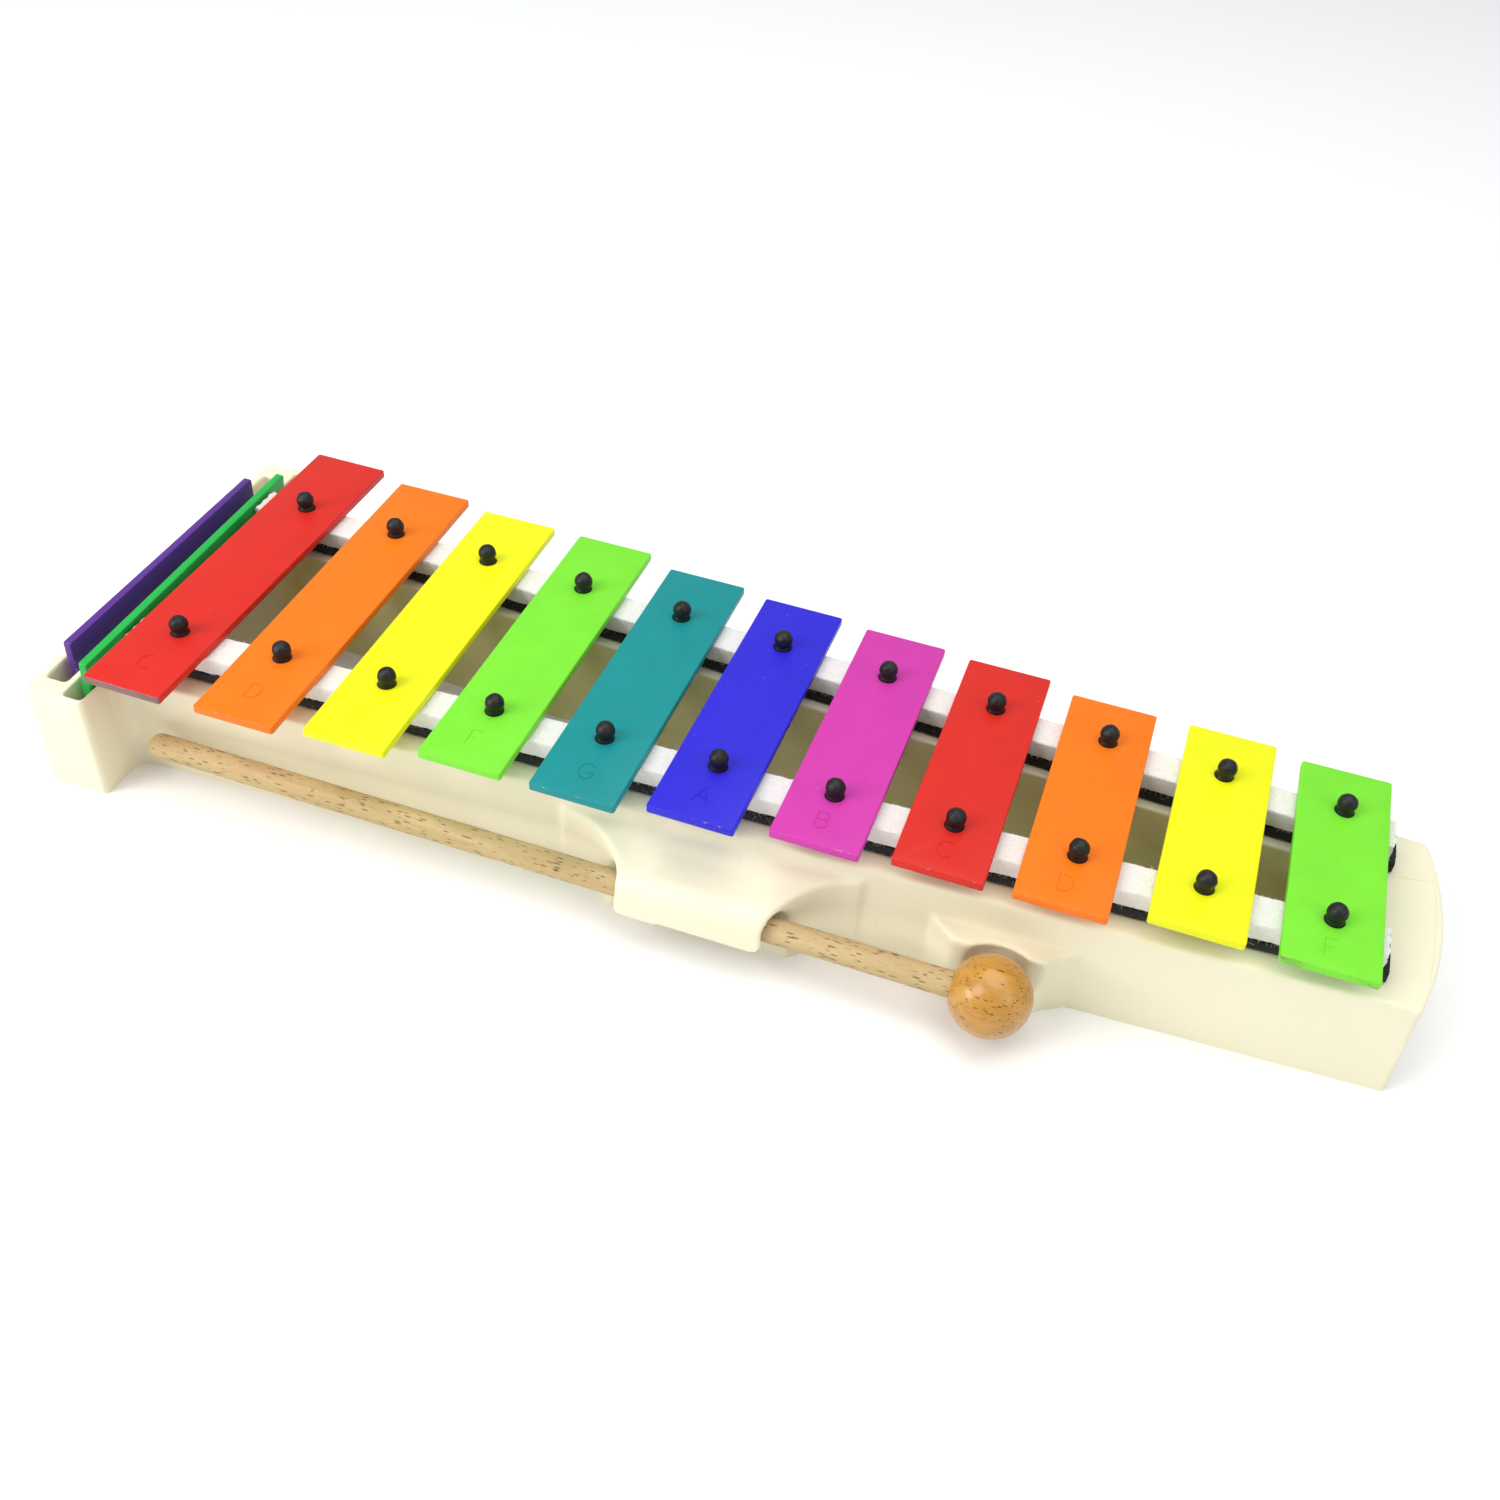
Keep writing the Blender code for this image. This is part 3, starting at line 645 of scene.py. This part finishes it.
def head_rest():
    plan = [(REST_PLAN[0][0], REST_ROOT_Y), *REST_PLAN, (REST_PLAN[-1][0], REST_ROOT_Y)]
    return upright(plan, 0.0, REST_TOP_Z)


def opening_cutter():
    outlines = []
    for reach in OPENING_REACH:
        left, right = OPENING_X
        left_y = pin_line(left) - reach
        right_y = pin_line(right) - reach
        outlines.append([(left, -left_y), (right, -right_y), (right, right_y), (left, left_y)])
    foot, top = outlines
    span = [(f[0] + (f[0] - t[0]) / 26, f[1] + (f[1] - t[1]) / 26) for f, t in zip(foot, top)]
    cutter = upright(span, CUT_FOOT_Z, RAIL_TOP_Z + 1.0, top)
    round_edges(cutter, lambda edge: abs(edge.verts[0].co.z - edge.verts[1].co.z) > 1.0, 3.0, 6)
    return cutter


def rail_hollow(side):
    x_low = OPENING_X[0] - 5.0
    x_high = OPENING_X[1] + 6.0
    lower = []
    upper = []
    for x, outer in ((x_low, True), (x_high, True), (x_high, False), (x_low, False)):
        reach = OUTER_REACH - WALL if outer else WALL - OPENING_REACH[0]
        lower.append((x, side * (pin_line(x) + reach)))
        reach = OUTER_REACH - DRAFT - WALL if outer else WALL - OPENING_REACH[1]
        upper.append((x, side * (pin_line(x) + reach)))
    return upright(lower, CUT_FOOT_Z, RAIL_TOP_Z - WALL, upper)


def end_hollow():
    x_low = OPENING_X[1] + WALL
    right_y = pin_line(RIGHT_CORNER_X) + OUTER_REACH - WALL - DRAFT
    left_y = pin_line(x_low) + OUTER_REACH - WALL - DRAFT
    plan = [(x_low, -left_y), (RIGHT_CORNER_X - WALL - DRAFT, -right_y)]
    plan += [(CASING_HALF_LENGTH - WALL - DRAFT - 0.6, 0.0)]
    plan += [(RIGHT_CORNER_X - WALL - DRAFT, right_y), (x_low, left_y)]
    return upright(plan, CUT_FOOT_Z, RAIL_TOP_Z - WALL - 0.2)


def block_hollow():
    top = SLOT_FLOOR_Z - WALL
    depth = BLOCK_HALF_DEPTH - WALL
    neck = pin_line(OPENING_X[0]) + OUTER_REACH - WALL - DRAFT
    outer, inner, throat = BLOCK_X[0] + WALL, BLOCK_X[1] - WALL, OPENING_X[0] - WALL
    plan = [(outer, -depth), (inner, -depth), (inner, -neck), (throat, -neck)]
    plan += [(x, -y) for x, y in reversed(plan)]
    return upright(plan, CUT_FOOT_Z, top)


def slot_cutter(edges, half_length, scoop):
    rise = BLOCK_TOP_Z - SLOT_FLOOR_Z
    right = arc((half_length - scoop, BLOCK_TOP_Z), (scoop, rise), -90, 0, 12)
    left = [(-y, z) for y, z in reversed(right)]
    top = [(half_length, BLOCK_TOP_Z + 2.0), (-half_length, BLOCK_TOP_Z + 2.0)]
    return along_x(right + top + left, edges[0], edges[1])


def channel_cutter():
    y_low, y_high = CHANNEL_Y
    half = (y_high - y_low) / 2
    arch = arc(((y_low + y_high) / 2, CHANNEL_ARCH_Z), (half, half), 0, 180, 20)
    profile = [(y_low, -5.0), (y_high, -5.0)] + arch
    return along_x(profile, HOLDER_X[0] - 25.0, HOLDER_X[1] + 25.0)


def head_clearance():
    ball = bmesh.new()
    place = Matrix.Translation((HEAD_X, MALLET_Y, MALLET_Z)) @ Matrix.Rotation(math.pi / 2, 4, "Y")
    bmesh.ops.create_uvsphere(ball, u_segments=48, v_segments=24, radius=SCOOP_RADIUS, matrix=place)
    return ball


def neighbours(mesh):
    """Edge ends, and how many edges meet at each vertex."""
    ends = np.empty(len(mesh.edges) * 2, dtype=np.int64)
    mesh.edges.foreach_get("vertices", ends)
    ends = ends.reshape(-1, 2)
    count = np.bincount(ends.ravel(), minlength=len(mesh.vertices)).astype(float)
    return ends, np.maximum(count, 1.0)


def soften(mesh, points, rounds, weight):
    """Moves each vertex towards the mean of its neighbours, by weight, rounds times."""
    ends, count = neighbours(mesh)
    for _ in range(rounds):
        total = np.zeros_like(points)
        for axis in range(3):
            total[:, axis] += np.bincount(ends[:, 0], points[ends[:, 1], axis], minlength=len(points))
            total[:, axis] += np.bincount(ends[:, 1], points[ends[:, 0], axis], minlength=len(points))
        points += (total / count[:, None] - points) * weight[:, None]
    return points


def ramp_between(values, low, high):
    return np.clip((values - low) / (high - low), 0.0, 1.0)


def lower_foot(obj):
    """Draws the foot down past the table, so that it can be cut flat at the end."""
    for vertex in obj.data.vertices:
        if vertex.co.z < 0.01 * MM:
            vertex.co.z = -FOOT_EXTRA * MM


def mark_inside(mesh):
    """Face-corner colour: red on the walls of the well and in the hollows, where the plastic gets a painted
    shade (a yellower tint).
    """
    layer = mesh.color_attributes.new("inside", "BYTE_COLOR", "CORNER")
    faces, corners = len(mesh.polygons), len(mesh.loops)
    centres, normals = np.empty(faces * 3), np.empty(faces * 3)
    counts = np.empty(faces, dtype=np.int64)
    mesh.polygons.foreach_get("center", centres)
    mesh.polygons.foreach_get("normal", normals)
    mesh.polygons.foreach_get("loop_total", counts)
    x, y, z = centres.reshape(-1, 3).T / MM
    across = normals.reshape(-1, 3)[:, 1]
    reach = pin_line(x) + OUTER_REACH - DRAFT - 1.0
    inside = (np.abs(y) < reach) & (z < RAIL_TOP_Z - 0.7) & (np.abs(across) > 0.3) & (np.abs(x) < 150.0)
    colours = np.zeros((corners, 4))
    colours[:, 0] = np.repeat(inside.astype(float), counts)
    colours[:, 3] = 1.0
    layer.data.foreach_set("color", colours.ravel())


def border_ridge():
    """A thin moulded line along the panel border, standing just proud of the top."""
    ridge = bmesh.new()
    corners = [Vector(corner) for corner in PANEL_BORDER]
    points = [corners[0], corners[1], corners[2] + Vector((-0.9, -0.15)), corners[2] + Vector((0.05, -0.8))]
    points += [Vector(point) for point in bezier(PANEL_BORDER[2:], 14)][1:]
    rings = []
    for i, point in enumerate(points):
        ahead = (points[min(i + 1, len(points) - 1)] - points[max(i - 1, 0)]).normalized()
        side = Vector((-ahead.y, ahead.x)) * RIDGE_HALF_WIDTH
        low, high = RAIL_TOP_Z - 0.12, RAIL_TOP_Z + 0.10
        section = (
            (point + side, low),
            (point + side * 0.5, high),
            (point - side * 0.5, high),
            (point - side, low),
        )
        rings.append([ridge.verts.new((*place, z)) for place, z in section])
    for first, second in zip(rings, rings[1:]):
        for k in range(4):
            j = (k + 1) % 4
            ridge.faces.new((first[k], first[j], second[j], second[k]))
    ridge.faces.new(rings[0][::-1])
    ridge.faces.new(rings[-1])
    return ridge


def build_casing():
    shell = link_mesh("casing_shell", casing_body())
    holder = link_mesh("holder_plan", mallet_holder())
    span = (HOLDER_X[0] - 30.0, HOLDER_X[1] + 30.0)
    combine(holder, [("INTERSECT", link_mesh("holder_profile", loft(*[holder_section(x) for x in span])))])
    joins = [link_mesh("block", left_block()), link_mesh("rest", head_rest()), holder]
    for solid in (shell, *joins):
        lower_foot(solid)
    cuts = [
        opening_cutter(),
        rail_hollow(-1),
        rail_hollow(1),
        end_hollow(),
        block_hollow(),
        leg_cutter(),
        channel_cutter(),
        head_clearance(),
        rod_along_x(HEAD_PATH_RADIUS, HEAD_X, HEAD_X + 40.0, MALLET_Y, MALLET_Z, 48),
        rod_along_x(STICK_RADIUS + 0.6, STICK_X[0] - 1.4, -118.0, MALLET_Y, MALLET_Z, 32),
    ]
    cuts += [slot_cutter(spare[1], *spare[2]) for spare in SPARES]
    steps = [("UNION", solid) for solid in joins]
    combine(shell, steps + [("DIFFERENCE", link_mesh(f"cut_{i}", cut)) for i, cut in enumerate(cuts)])
    grid = shell.modifiers.new("grid", "REMESH")
    grid.mode = "VOXEL"
    grid.voxel_size = CASING_VOXEL * MM
    settle(shell)
    mesh = shell.data
    points = np.empty(len(mesh.vertices) * 3)
    mesh.vertices.foreach_get("co", points)
    points = points.reshape(-1, 3) / MM
    x, y, z = points.T
    points = soften(mesh, points, 2, np.full(len(points), 0.5))
    near_holder = ramp_between(x, -44, -34) * (1 - ramp_between(x, 44, 50)) * (1 - ramp_between(y, -29, -26))
    above = ramp_between(z, 10.5, 14.0)
    points = soften(mesh, points, 12, 0.5 * near_holder * above)
    near_rest = ramp_between(x, 54, 60) * (1 - ramp_between(x, 92, 98)) * (1 - ramp_between(y, -29, -26))
    points = soften(mesh, points, 7, 0.5 * near_rest * ramp_between(z, 1.0, 4.0))
    mesh.vertices.foreach_set("co", (points * MM).ravel())
    mesh.update()
    thin = shell.modifiers.new("thin", "DECIMATE")
    thin.ratio = CASING_KEEP
    settle(shell)
    below = upright(box_outline(-200.0, 200.0, -80.0, 80.0), -9.0, 0.0)
    border = border_ridge()
    combine(shell, [("DIFFERENCE", link_mesh("below", below)), ("UNION", link_mesh("border", border))])
    mark_inside(shell.data)
    finish_mesh(shell, ivory_plastic(), 60.0)
    return shell


# ---------------------------------------------------------------- bars


def bar_blank(length):
    r = BAR_CORNER_RADIUS
    half_x = BAR_WIDTH / 2 - r
    half_y = length / 2 - r
    outline = []
    for quarter, (sx, sy) in enumerate(((1, 1), (-1, 1), (-1, -1), (1, -1))):
        outline += arc((sx * half_x, sy * half_y), (r, r), 90 * quarter, 90 * quarter + 90, 6)
    solid = upright(outline, -BAR_THICKNESS / 2, BAR_THICKNESS / 2)
    rims = (-BAR_THICKNESS / 2, BAR_THICKNESS / 2)
    round_edges(solid, lambda edge: any(at_height(edge, z) for z in rims), BAR_EDGE, 3)
    return solid


def letter_strokes(letter):
    """A letter as lines and arcs in a box one unit high, its foot at y = 0."""
    bowl = {
        "C": [arc((0.36, 0.5), (0.36, 0.5), 45, 315, 14)],
        "G": [arc((0.38, 0.5), (0.38, 0.5), 45, 350, 16), [(0.75, 0.42), (0.45, 0.42)]],
        "D": [[(0, 0), (0, 1)], [(0, 1), (0.2, 1)] + arc((0.2, 0.5), (0.45, 0.5), 90, -90, 12) + [(0, 0)]],
        "E": [[(0.55, 0), (0, 0), (0, 1), (0.55, 1)], [(0, 0.52), (0.42, 0.52)]],
        "F": [[(0, 0), (0, 1), (0.52, 1)], [(0, 0.52), (0.4, 0.52)]],
        "A": [[(0, 0), (0.36, 1), (0.72, 0)], [(0.13, 0.34), (0.59, 0.34)]],
        "B": [
            [(0, 0), (0, 1), (0.25, 1)] + arc((0.25, 0.76), (0.26, 0.24), 90, -90, 8) + [(0, 0.52)],
            [(0.25, 0.52)] + arc((0.27, 0.26), (0.32, 0.26), 90, -90, 8) + [(0, 0)],
        ],
    }
    return bowl[letter]


def stamped_letter(letter, foot_y):
    """A cutter for the thin groove of a stamped letter on the bar's top face."""
    groove = bmesh.new()
    top = BAR_THICKNESS / 2
    for stroke in letter_strokes(letter):
        points = [Vector(((x - 0.33) * LETTER_HEIGHT, foot_y + y * LETTER_HEIGHT)) for x, y in stroke]
        left, right = [], []
        for i, point in enumerate(points):
            ahead = (points[min(i + 1, len(points) - 1)] - points[max(i - 1, 0)]).normalized()
            side = Vector((-ahead.y, ahead.x)) * GROOVE_HALF_WIDTH
            left.append(point + side)
            right.append(point - side)
        outline = left + right[::-1]
        low = [groove.verts.new((p.x, p.y, top - GROOVE_DEPTH)) for p in outline]
        high = [groove.verts.new((p.x, p.y, top + 0.5)) for p in outline]
        n = len(points)
        for i in range(n - 1):
            j = 2 * n - 1 - i
            groove.faces.new((low[i], low[i + 1], low[j - 1], low[j]))
            groove.faces.new((high[i], high[i + 1], high[j - 1], high[j]))
            groove.faces.new((low[i], low[i + 1], high[i + 1], high[i]))
            groove.faces.new((low[j], low[j - 1], high[j - 1], high[j]))
        groove.faces.new((low[0], low[-1], high[-1], high[0]))
        groove.faces.new((low[n - 1], low[n], high[n], high[n - 1]))
    return groove


def mark_wear(mesh, length, bare):
    """Face-corner colours: red on the rounded rims, green for bare metal on the front end."""
    layer = mesh.color_attributes.new("wear", "BYTE_COLOR", "CORNER")
    for face in mesh.polygons:
        flat = abs(face.normal.z)
        rim = 1.0 if 0.15 < flat < 0.97 and face.area < 8e-6 else 0.0
        at_front = face.center.y < -(length / 2 - 0.5) * MM
        front = bare if at_front and flat < 0.8 else 0.0
        for corner in face.loop_indices:
            layer.data[corner].color = (rim, front, 0.0, 1.0)


def make_bar(name, length, holes_at, look, bare=0.0, letter=None):
    bar = link_mesh(name, bar_blank(length))
    holes = bmesh.new()
    for place in holes_at:
        add_cylinder(holes, BAR_HOLE_RADIUS, place, -BAR_THICKNESS, BAR_THICKNESS, 36)
    tools = [link_mesh(name + "_holes", holes)]
    if letter:
        foot = length * (LETTER_PLACE - 0.5) - LETTER_HEIGHT / 2
        tools.append(link_mesh(name + "_letter", stamped_letter(letter, foot)))
    combine(bar, [("DIFFERENCE", tool) for tool in tools], use_self=True)
    mark_wear(bar.data, length, bare)
    finish_mesh(bar, look, 30.0)
    return bar


def pin_places(half_span, play, turn):
    """Where a bar's two pins come through it, in the bar's own frame."""
    facing = Matrix.Rotation(math.radians(turn), 2)
    return [(Vector((0.0, side * half_span)) - Vector(play)) @ facing for side in (-1, 1)]


def build_bars(paints):
    for index, (node, letter, length, paint, play_x, play_y, turn, bare) in enumerate(BARS):
        x = ROW_CENTRE_X + (index - 5) * BAR_PITCH
        holes_at = pin_places(pin_line(x), (play_x, play_y), turn)
        bar = make_bar(node + "_painted", length, holes_at, paints[paint], bare, letter)
        place = Matrix.Translation(Vector((x + play_x, play_y, BAR_UNDERSIDE_Z + BAR_THICKNESS / 2)) * MM)
        bar.data.transform(place @ Matrix.Rotation(math.radians(turn), 4, "Z"))
        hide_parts(node)
        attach(bar, node + "_body")


def build_spare_bars(paints):
    for name, _, _, length, front_y, lean, turn, foot_x, paint in SPARES:
        holes_at = pin_places(SPARE_HOLE_SHARE * length, (0.0, 0.0), 0.0)
        bar = make_bar(name + "_painted", length, holes_at, paints[paint])
        slope = math.radians(lean)
        foot = SLOT_FLOOR_Z + SPARE_CLEARANCE + math.sin(slope) * BAR_THICKNESS / 2
        middle = Vector((foot_x + math.sin(slope) * BAR_WIDTH / 2, front_y + length / 2, 0.0))
        middle.z = foot + math.cos(slope) * BAR_WIDTH / 2
        stand = Matrix.Rotation(math.radians(turn), 4, "Z") @ Matrix.Rotation(slope - math.pi / 2, 4, "Y")
        bar.data.transform(Matrix.Translation(middle * MM) @ stand)
        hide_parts(name)
        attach(bar, name + "_body")


# ---------------------------------------------------------------- rails


def add_fibre(solid, root, lean, length, radius, curl, joints=4):
    """A thin tapering three-sided strand that bends away from its lean."""
    side = lean.cross(Vector((0.3, 0.5, 0.8))).normalized()
    drift = Vector((rng.uniform(-1, 1), rng.uniform(-1, 1), rng.uniform(-1, 1))) * curl
    point, heading = root.copy(), lean.normalized()
    previous = None
    for step in range(joints + 1):
        around = heading.cross(side).normalized()
        thick = radius * (1.0 - 0.75 * step / joints)
        ring = []
        for k in range(3):
            angle = 2 * math.pi * k / 3
            sideways = side * (thick * math.cos(angle))
            upwards = around * (thick * math.sin(angle))
            ring.append(solid.verts.new(point + sideways + upwards))
        if previous:
            for k in range(3):
                solid.faces.new((previous[k], previous[(k + 1) % 3], ring[(k + 1) % 3], ring[k]))
        else:
            solid.faces.new(ring[::-1])
        previous = ring
        heading = (heading + drift / joints).normalized()
        point = point + heading * (length / joints)
    solid.faces.new(previous)


def strip_section(width, height, radius, steps):
    """A rounded rectangle, counter-clockwise, with points along its sides too."""
    half_w, half_h = width / 2 - radius, height / 2 - radius
    corners = []
    for quarter, (sx, sz) in enumerate(((1, 1), (-1, 1), (-1, -1), (1, -1))):
        corners.append(arc((sx * half_w, sz * half_h), (radius, radius), 90 * quarter, 90 * quarter + 90, 4))
    points = []
    for corner, following in zip(corners, corners[1:] + corners[:1]):
        points += corner
        start, end = Vector(corner[-1]), Vector(following[0])
        count = max(1, int((end - start).length / steps))
        points += [tuple(start.lerp(end, k / count)) for k in range(1, count)]
    return points


def felt_curl(x, rise):
    """How far the felt's free end curls up at x; rise is 0 at its underside and 1 at its top."""
    free = min(1.0, max(0.0, (FELT_FREE_X - x) / FELT_CURL[1]))
    return FELT_CURL[0] * free * max(0.0, rise)


def build_strip(name, node, side, span, heights, radius, roughness, look, fibres, end_shape, curls):
    """A strip of felt or pile along one rail, rough all over, with loose strands along its edges."""
    solid = bmesh.new()
    z_low, z_high = heights
    section = strip_section(STRIP_WIDTH, z_high - z_low, radius, 0.75)
    middle_z = (z_low + z_high) / 2
    count = int((span[1] - span[0]) / 0.8)
    rings = []
    for step in range(count + 1):
        x = span[0] + (span[1] - span[0]) * step / count
        ring = []
        for offset, height in section:
            shift = end_shape(x, offset, height) if step in (0, count) else 0.0
            raised = felt_curl(x, height / (z_high - z_low) + 0.5) if curls else 0.0
            spot = Vector((x + shift, side * pin_line(x) + offset, middle_z + height + raised))
            coarse = noise.noise_vector(spot * 0.9) * roughness
            fine = noise.noise_vector(spot * 3.1) * roughness * 0.6
            ring.append(solid.verts.new(spot + (coarse + fine)))
        rings.append(ring)
    for first, second in zip(rings, rings[1:]):
        for k in range(len(section)):
            j = (k + 1) % len(section)
            solid.faces.new((first[k], first[j], second[j], second[k]))
    solid.faces.new(rings[0][::-1])
    solid.faces.new(rings[-1])
    for _ in range(fibres[0]):
        x = rng.uniform(span[0] + 0.3, span[1] - 0.3)
        k = rng.randrange(len(section))
        offset, height = section[k]
        rise = height / (z_high - z_low) * 1.4
        outward = Vector((rng.uniform(-0.7, 0.7), offset / STRIP_WIDTH * 1.6, rise))
        root = Vector((x, side * pin_line(x) + offset * 0.97, middle_z + height * 0.97))
        add_fibre(solid, root, outward, rng.uniform(*fibres[1]), fibres[2], 1.1)
    strip = link_mesh(name, solid)
    finish_mesh(strip, look, 80.0)
    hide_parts(node)
    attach(strip, "frame")
    return strip


def build_strips():
    felt, velour, lint = white_felt(), black_velour(), loose_fibre()

    def felt_end(x, offset, height):
        return 0.25 * math.sin(offset * 2.1) + 0.2 * math.sin(height * 3.0)

    def velour_end(x, offset, height):
        return -0.5 * (offset / STRIP_WIDTH) ** 2 if x > 0 else 0.2 * math.sin(offset)

    for row, side in (("front", -1), ("back", 1)):
        felt_strip = build_strip(
            f"{row}_felt",
            f"{row}_felt_strip",
            side,
            FELT_X[row],
            FELT_Z,
            radius=0.45,
            roughness=0.15,
            look=felt,
            fibres=FELT_FIBRES,
            end_shape=felt_end,
            curls=True,
        )
        underlay = build_strip(
            f"{row}_underlay",
            f"{row}_underlay_strip",
            side,
            BLACK_STRIP_X,
            BLACK_STRIP_Z,
            radius=0.35,
            roughness=0.12,
            look=velour,
            fibres=PILE_FIBRES,
            end_shape=velour_end,
            curls=False,
        )
        strands = bmesh.new()
        for _ in range(CLINGING_FIBRES):
            x = rng.uniform(BLACK_STRIP_X[0] + 4, BLACK_STRIP_X[1] - 4)
            z = rng.uniform(BLACK_STRIP_Z[0] + 0.4, BLACK_STRIP_Z[1] - 0.4)
            y = side * pin_line(x) - STRIP_WIDTH / 2 - 0.02
            lean = Vector((rng.uniform(-1, 1), -0.15, rng.uniform(-0.8, 0.8)))
            add_fibre(strands, Vector((x, y, z)), lean, rng.uniform(0.8, 2.6), 0.035, 1.6, 8)
        loose = link_mesh(f"{row}_loose_fibres", strands)
        finish_mesh(loose, lint, 80.0)
        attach(loose, "frame")


def build_pins():
    rubber = black_rubber()
    profile = list(PIN_STEM)
    for step in range(15):
        turn = math.radians(-33 + 123 * step / 14)
        radius = PIN_BALL_RADIUS * math.cos(turn) if step < 14 else 0.0
        profile.append((radius, PIN_BALL_Z + PIN_BALL_RADIUS * math.sin(turn)))
    for index in range(len(BARS)):
        x = ROW_CENTRE_X + (index - 5) * BAR_PITCH
        for row, side in (("front", -1), ("back", 1)):
            node = f"pin_{row}_{index + 1:02d}"
            pin = link_mesh(node + "_rubber", turned(profile, 32))
            for vertex in pin.data.vertices:
                if vertex.co.z > 36.1 * MM:
                    seed = Vector((index, side, 0))
                    vertex.co += noise.noise_vector(vertex.co / MM * 0.8 + seed) * 0.12 * MM
                    vertex.co += noise.noise_vector(vertex.co / MM * 2.1 - seed) * 0.05 * MM
            lean = Matrix.Rotation(math.radians(PIN_LEANS[side > 0][index]), 4, "Y")
            pivot = Matrix.Translation((0, 0, PIN_PIVOT_Z * MM))
            place = Matrix.Translation(Vector((x, side * pin_line(x), 0.0)) * MM)
            spin = Matrix.Rotation(rng.uniform(0, 6), 4, "Z")
            pin.data.transform(place @ pivot @ lean @ spin @ pivot.inverted())
            finish_mesh(pin, rubber, 50.0)
            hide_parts(node)
            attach(pin, "frame")


# ---------------------------------------------------------------- mallet


def build_mallet():
    length = STICK_X[1] - STICK_X[0]
    turns = [math.radians(angle) for angle in range(0, 91, 10)]
    profile = [(STICK_RADIUS * math.sin(t), STICK_RADIUS * (1 - math.cos(t))) for t in turns]
    rest_of = length - STICK_RADIUS
    for k in range(1, 41):
        profile.append((STICK_RADIUS + 0.03 * math.sin(k * 1.7), STICK_RADIUS + rest_of * k / 40))
    stick = link_mesh("stick_beech", turned(profile, 40))
    bore_end = STICK_X[1] - HEAD_X + 0.3
    head_profile = [(0.0, bore_end), (HEAD_BORE_RADIUS, bore_end)]
    bore_angle = math.degrees(math.acos(HEAD_BORE_RADIUS / HEAD_RADIUS))
    head_profile.append((HEAD_BORE_RADIUS, -HEAD_RADIUS * math.sin(math.radians(bore_angle)) + 0.35))
    steps = 40
    for step in range(steps):
        turn = math.radians(-bore_angle + 2.0 + (88.0 + bore_angle) * step / (steps - 1))
        radius = HEAD_RADIUS * math.cos(turn) if step < steps - 1 else 0.0
        head_profile.append((radius, HEAD_RADIUS * math.sin(turn)))
    head = link_mesh("head_beech", turned(head_profile, 64))
    pieces = (
        (stick, STICK_X[0], "mallet_stick", plain_beech()),
        (head, HEAD_X, "mallet_head", varnished_beech()),
    )
    for piece, x, node, look in pieces:
        turn = Matrix.Rotation(math.pi / 2, 4, "Y")
        piece.data.transform(Matrix.Translation(Vector((x, MALLET_Y, MALLET_Z)) * MM) @ turn)
        finish_mesh(piece, look, 50.0)
        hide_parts(node)
        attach(piece, "mallet")


# ---------------------------------------------------------------- studio


def area_light(name, place, target, size, power, colour=(1, 1, 1)):
    data = bpy.data.lights.new(name, "AREA")
    data.shape = "RECTANGLE"
    data.size, data.size_y = size
    data.energy = power
    data.color = colour
    lamp = bpy.data.objects.new(name, data)
    lamp.location = place
    lamp.rotation_euler = (Vector(target) - Vector(place)).to_track_quat("-Z", "Y").to_euler()
    bpy.context.scene.collection.objects.link(lamp)


def build_studio():
    scene = bpy.context.scene
    scene.view_settings.view_transform = "Standard"
    data = bpy.data.cameras.new("camera")
    data.lens = CAMERA_LENS
    data.sensor_width = CAMERA_SENSOR
    camera = bpy.data.objects.new("camera", data)
    camera.location = CAMERA_PLACE
    camera.rotation_euler = [math.radians(a) for a in CAMERA_TURN]
    scene.collection.objects.link(camera)
    scene.camera = camera

    floor_solid = bmesh.new()
    bmesh.ops.create_grid(floor_solid, x_segments=1, y_segments=1, size=4000.0)
    floor = link_mesh("floor", floor_solid)
    paper = Look("floor_paper", Roughness=0.8, Specular_IOR_Level=0.1)
    paper.put("Base Color", paper.mix(paper.noise(60.0, 2.0), (0.90, 0.90, 0.90), (0.885, 0.888, 0.893)))
    floor.data.materials.append(paper.material)

    world = bpy.data.worlds.new("studio")
    scene.world = world
    world.use_nodes = True
    background = world.node_tree.nodes["Background"]
    background.inputs["Color"].default_value = (0.97, 0.985, 1.0, 1.0)
    background.inputs["Strength"].default_value = 0.52
    area_light("key_left", (-0.62, -0.6, 0.85), (-0.03, 0, 0), (0.6, 0.6), 5.6, (1.0, 0.985, 0.965))
    area_light("low_left", (-0.6, -0.42, 0.26), (-0.12, 0, 0.01), (0.35, 0.2), 1.9, (1.0, 0.985, 0.95))
    area_light("fill_right", (0.85, -0.35, 0.7), (0.02, 0, 0), (0.6, 0.6), 1.9, (0.9, 0.96, 1.0))
    area_light("top", (0.05, 0.1, 1.2), (0, 0, 0), (1.2, 1.0), 9.0)


paints = {name: painted_metal(name, colour) for name, colour in PAINTS.items()}
casing = build_casing()
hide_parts("casing")
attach(casing, "frame")
build_strips()
build_pins()
build_bars(paints)
build_spare_bars(paints)
build_mallet()
build_studio()
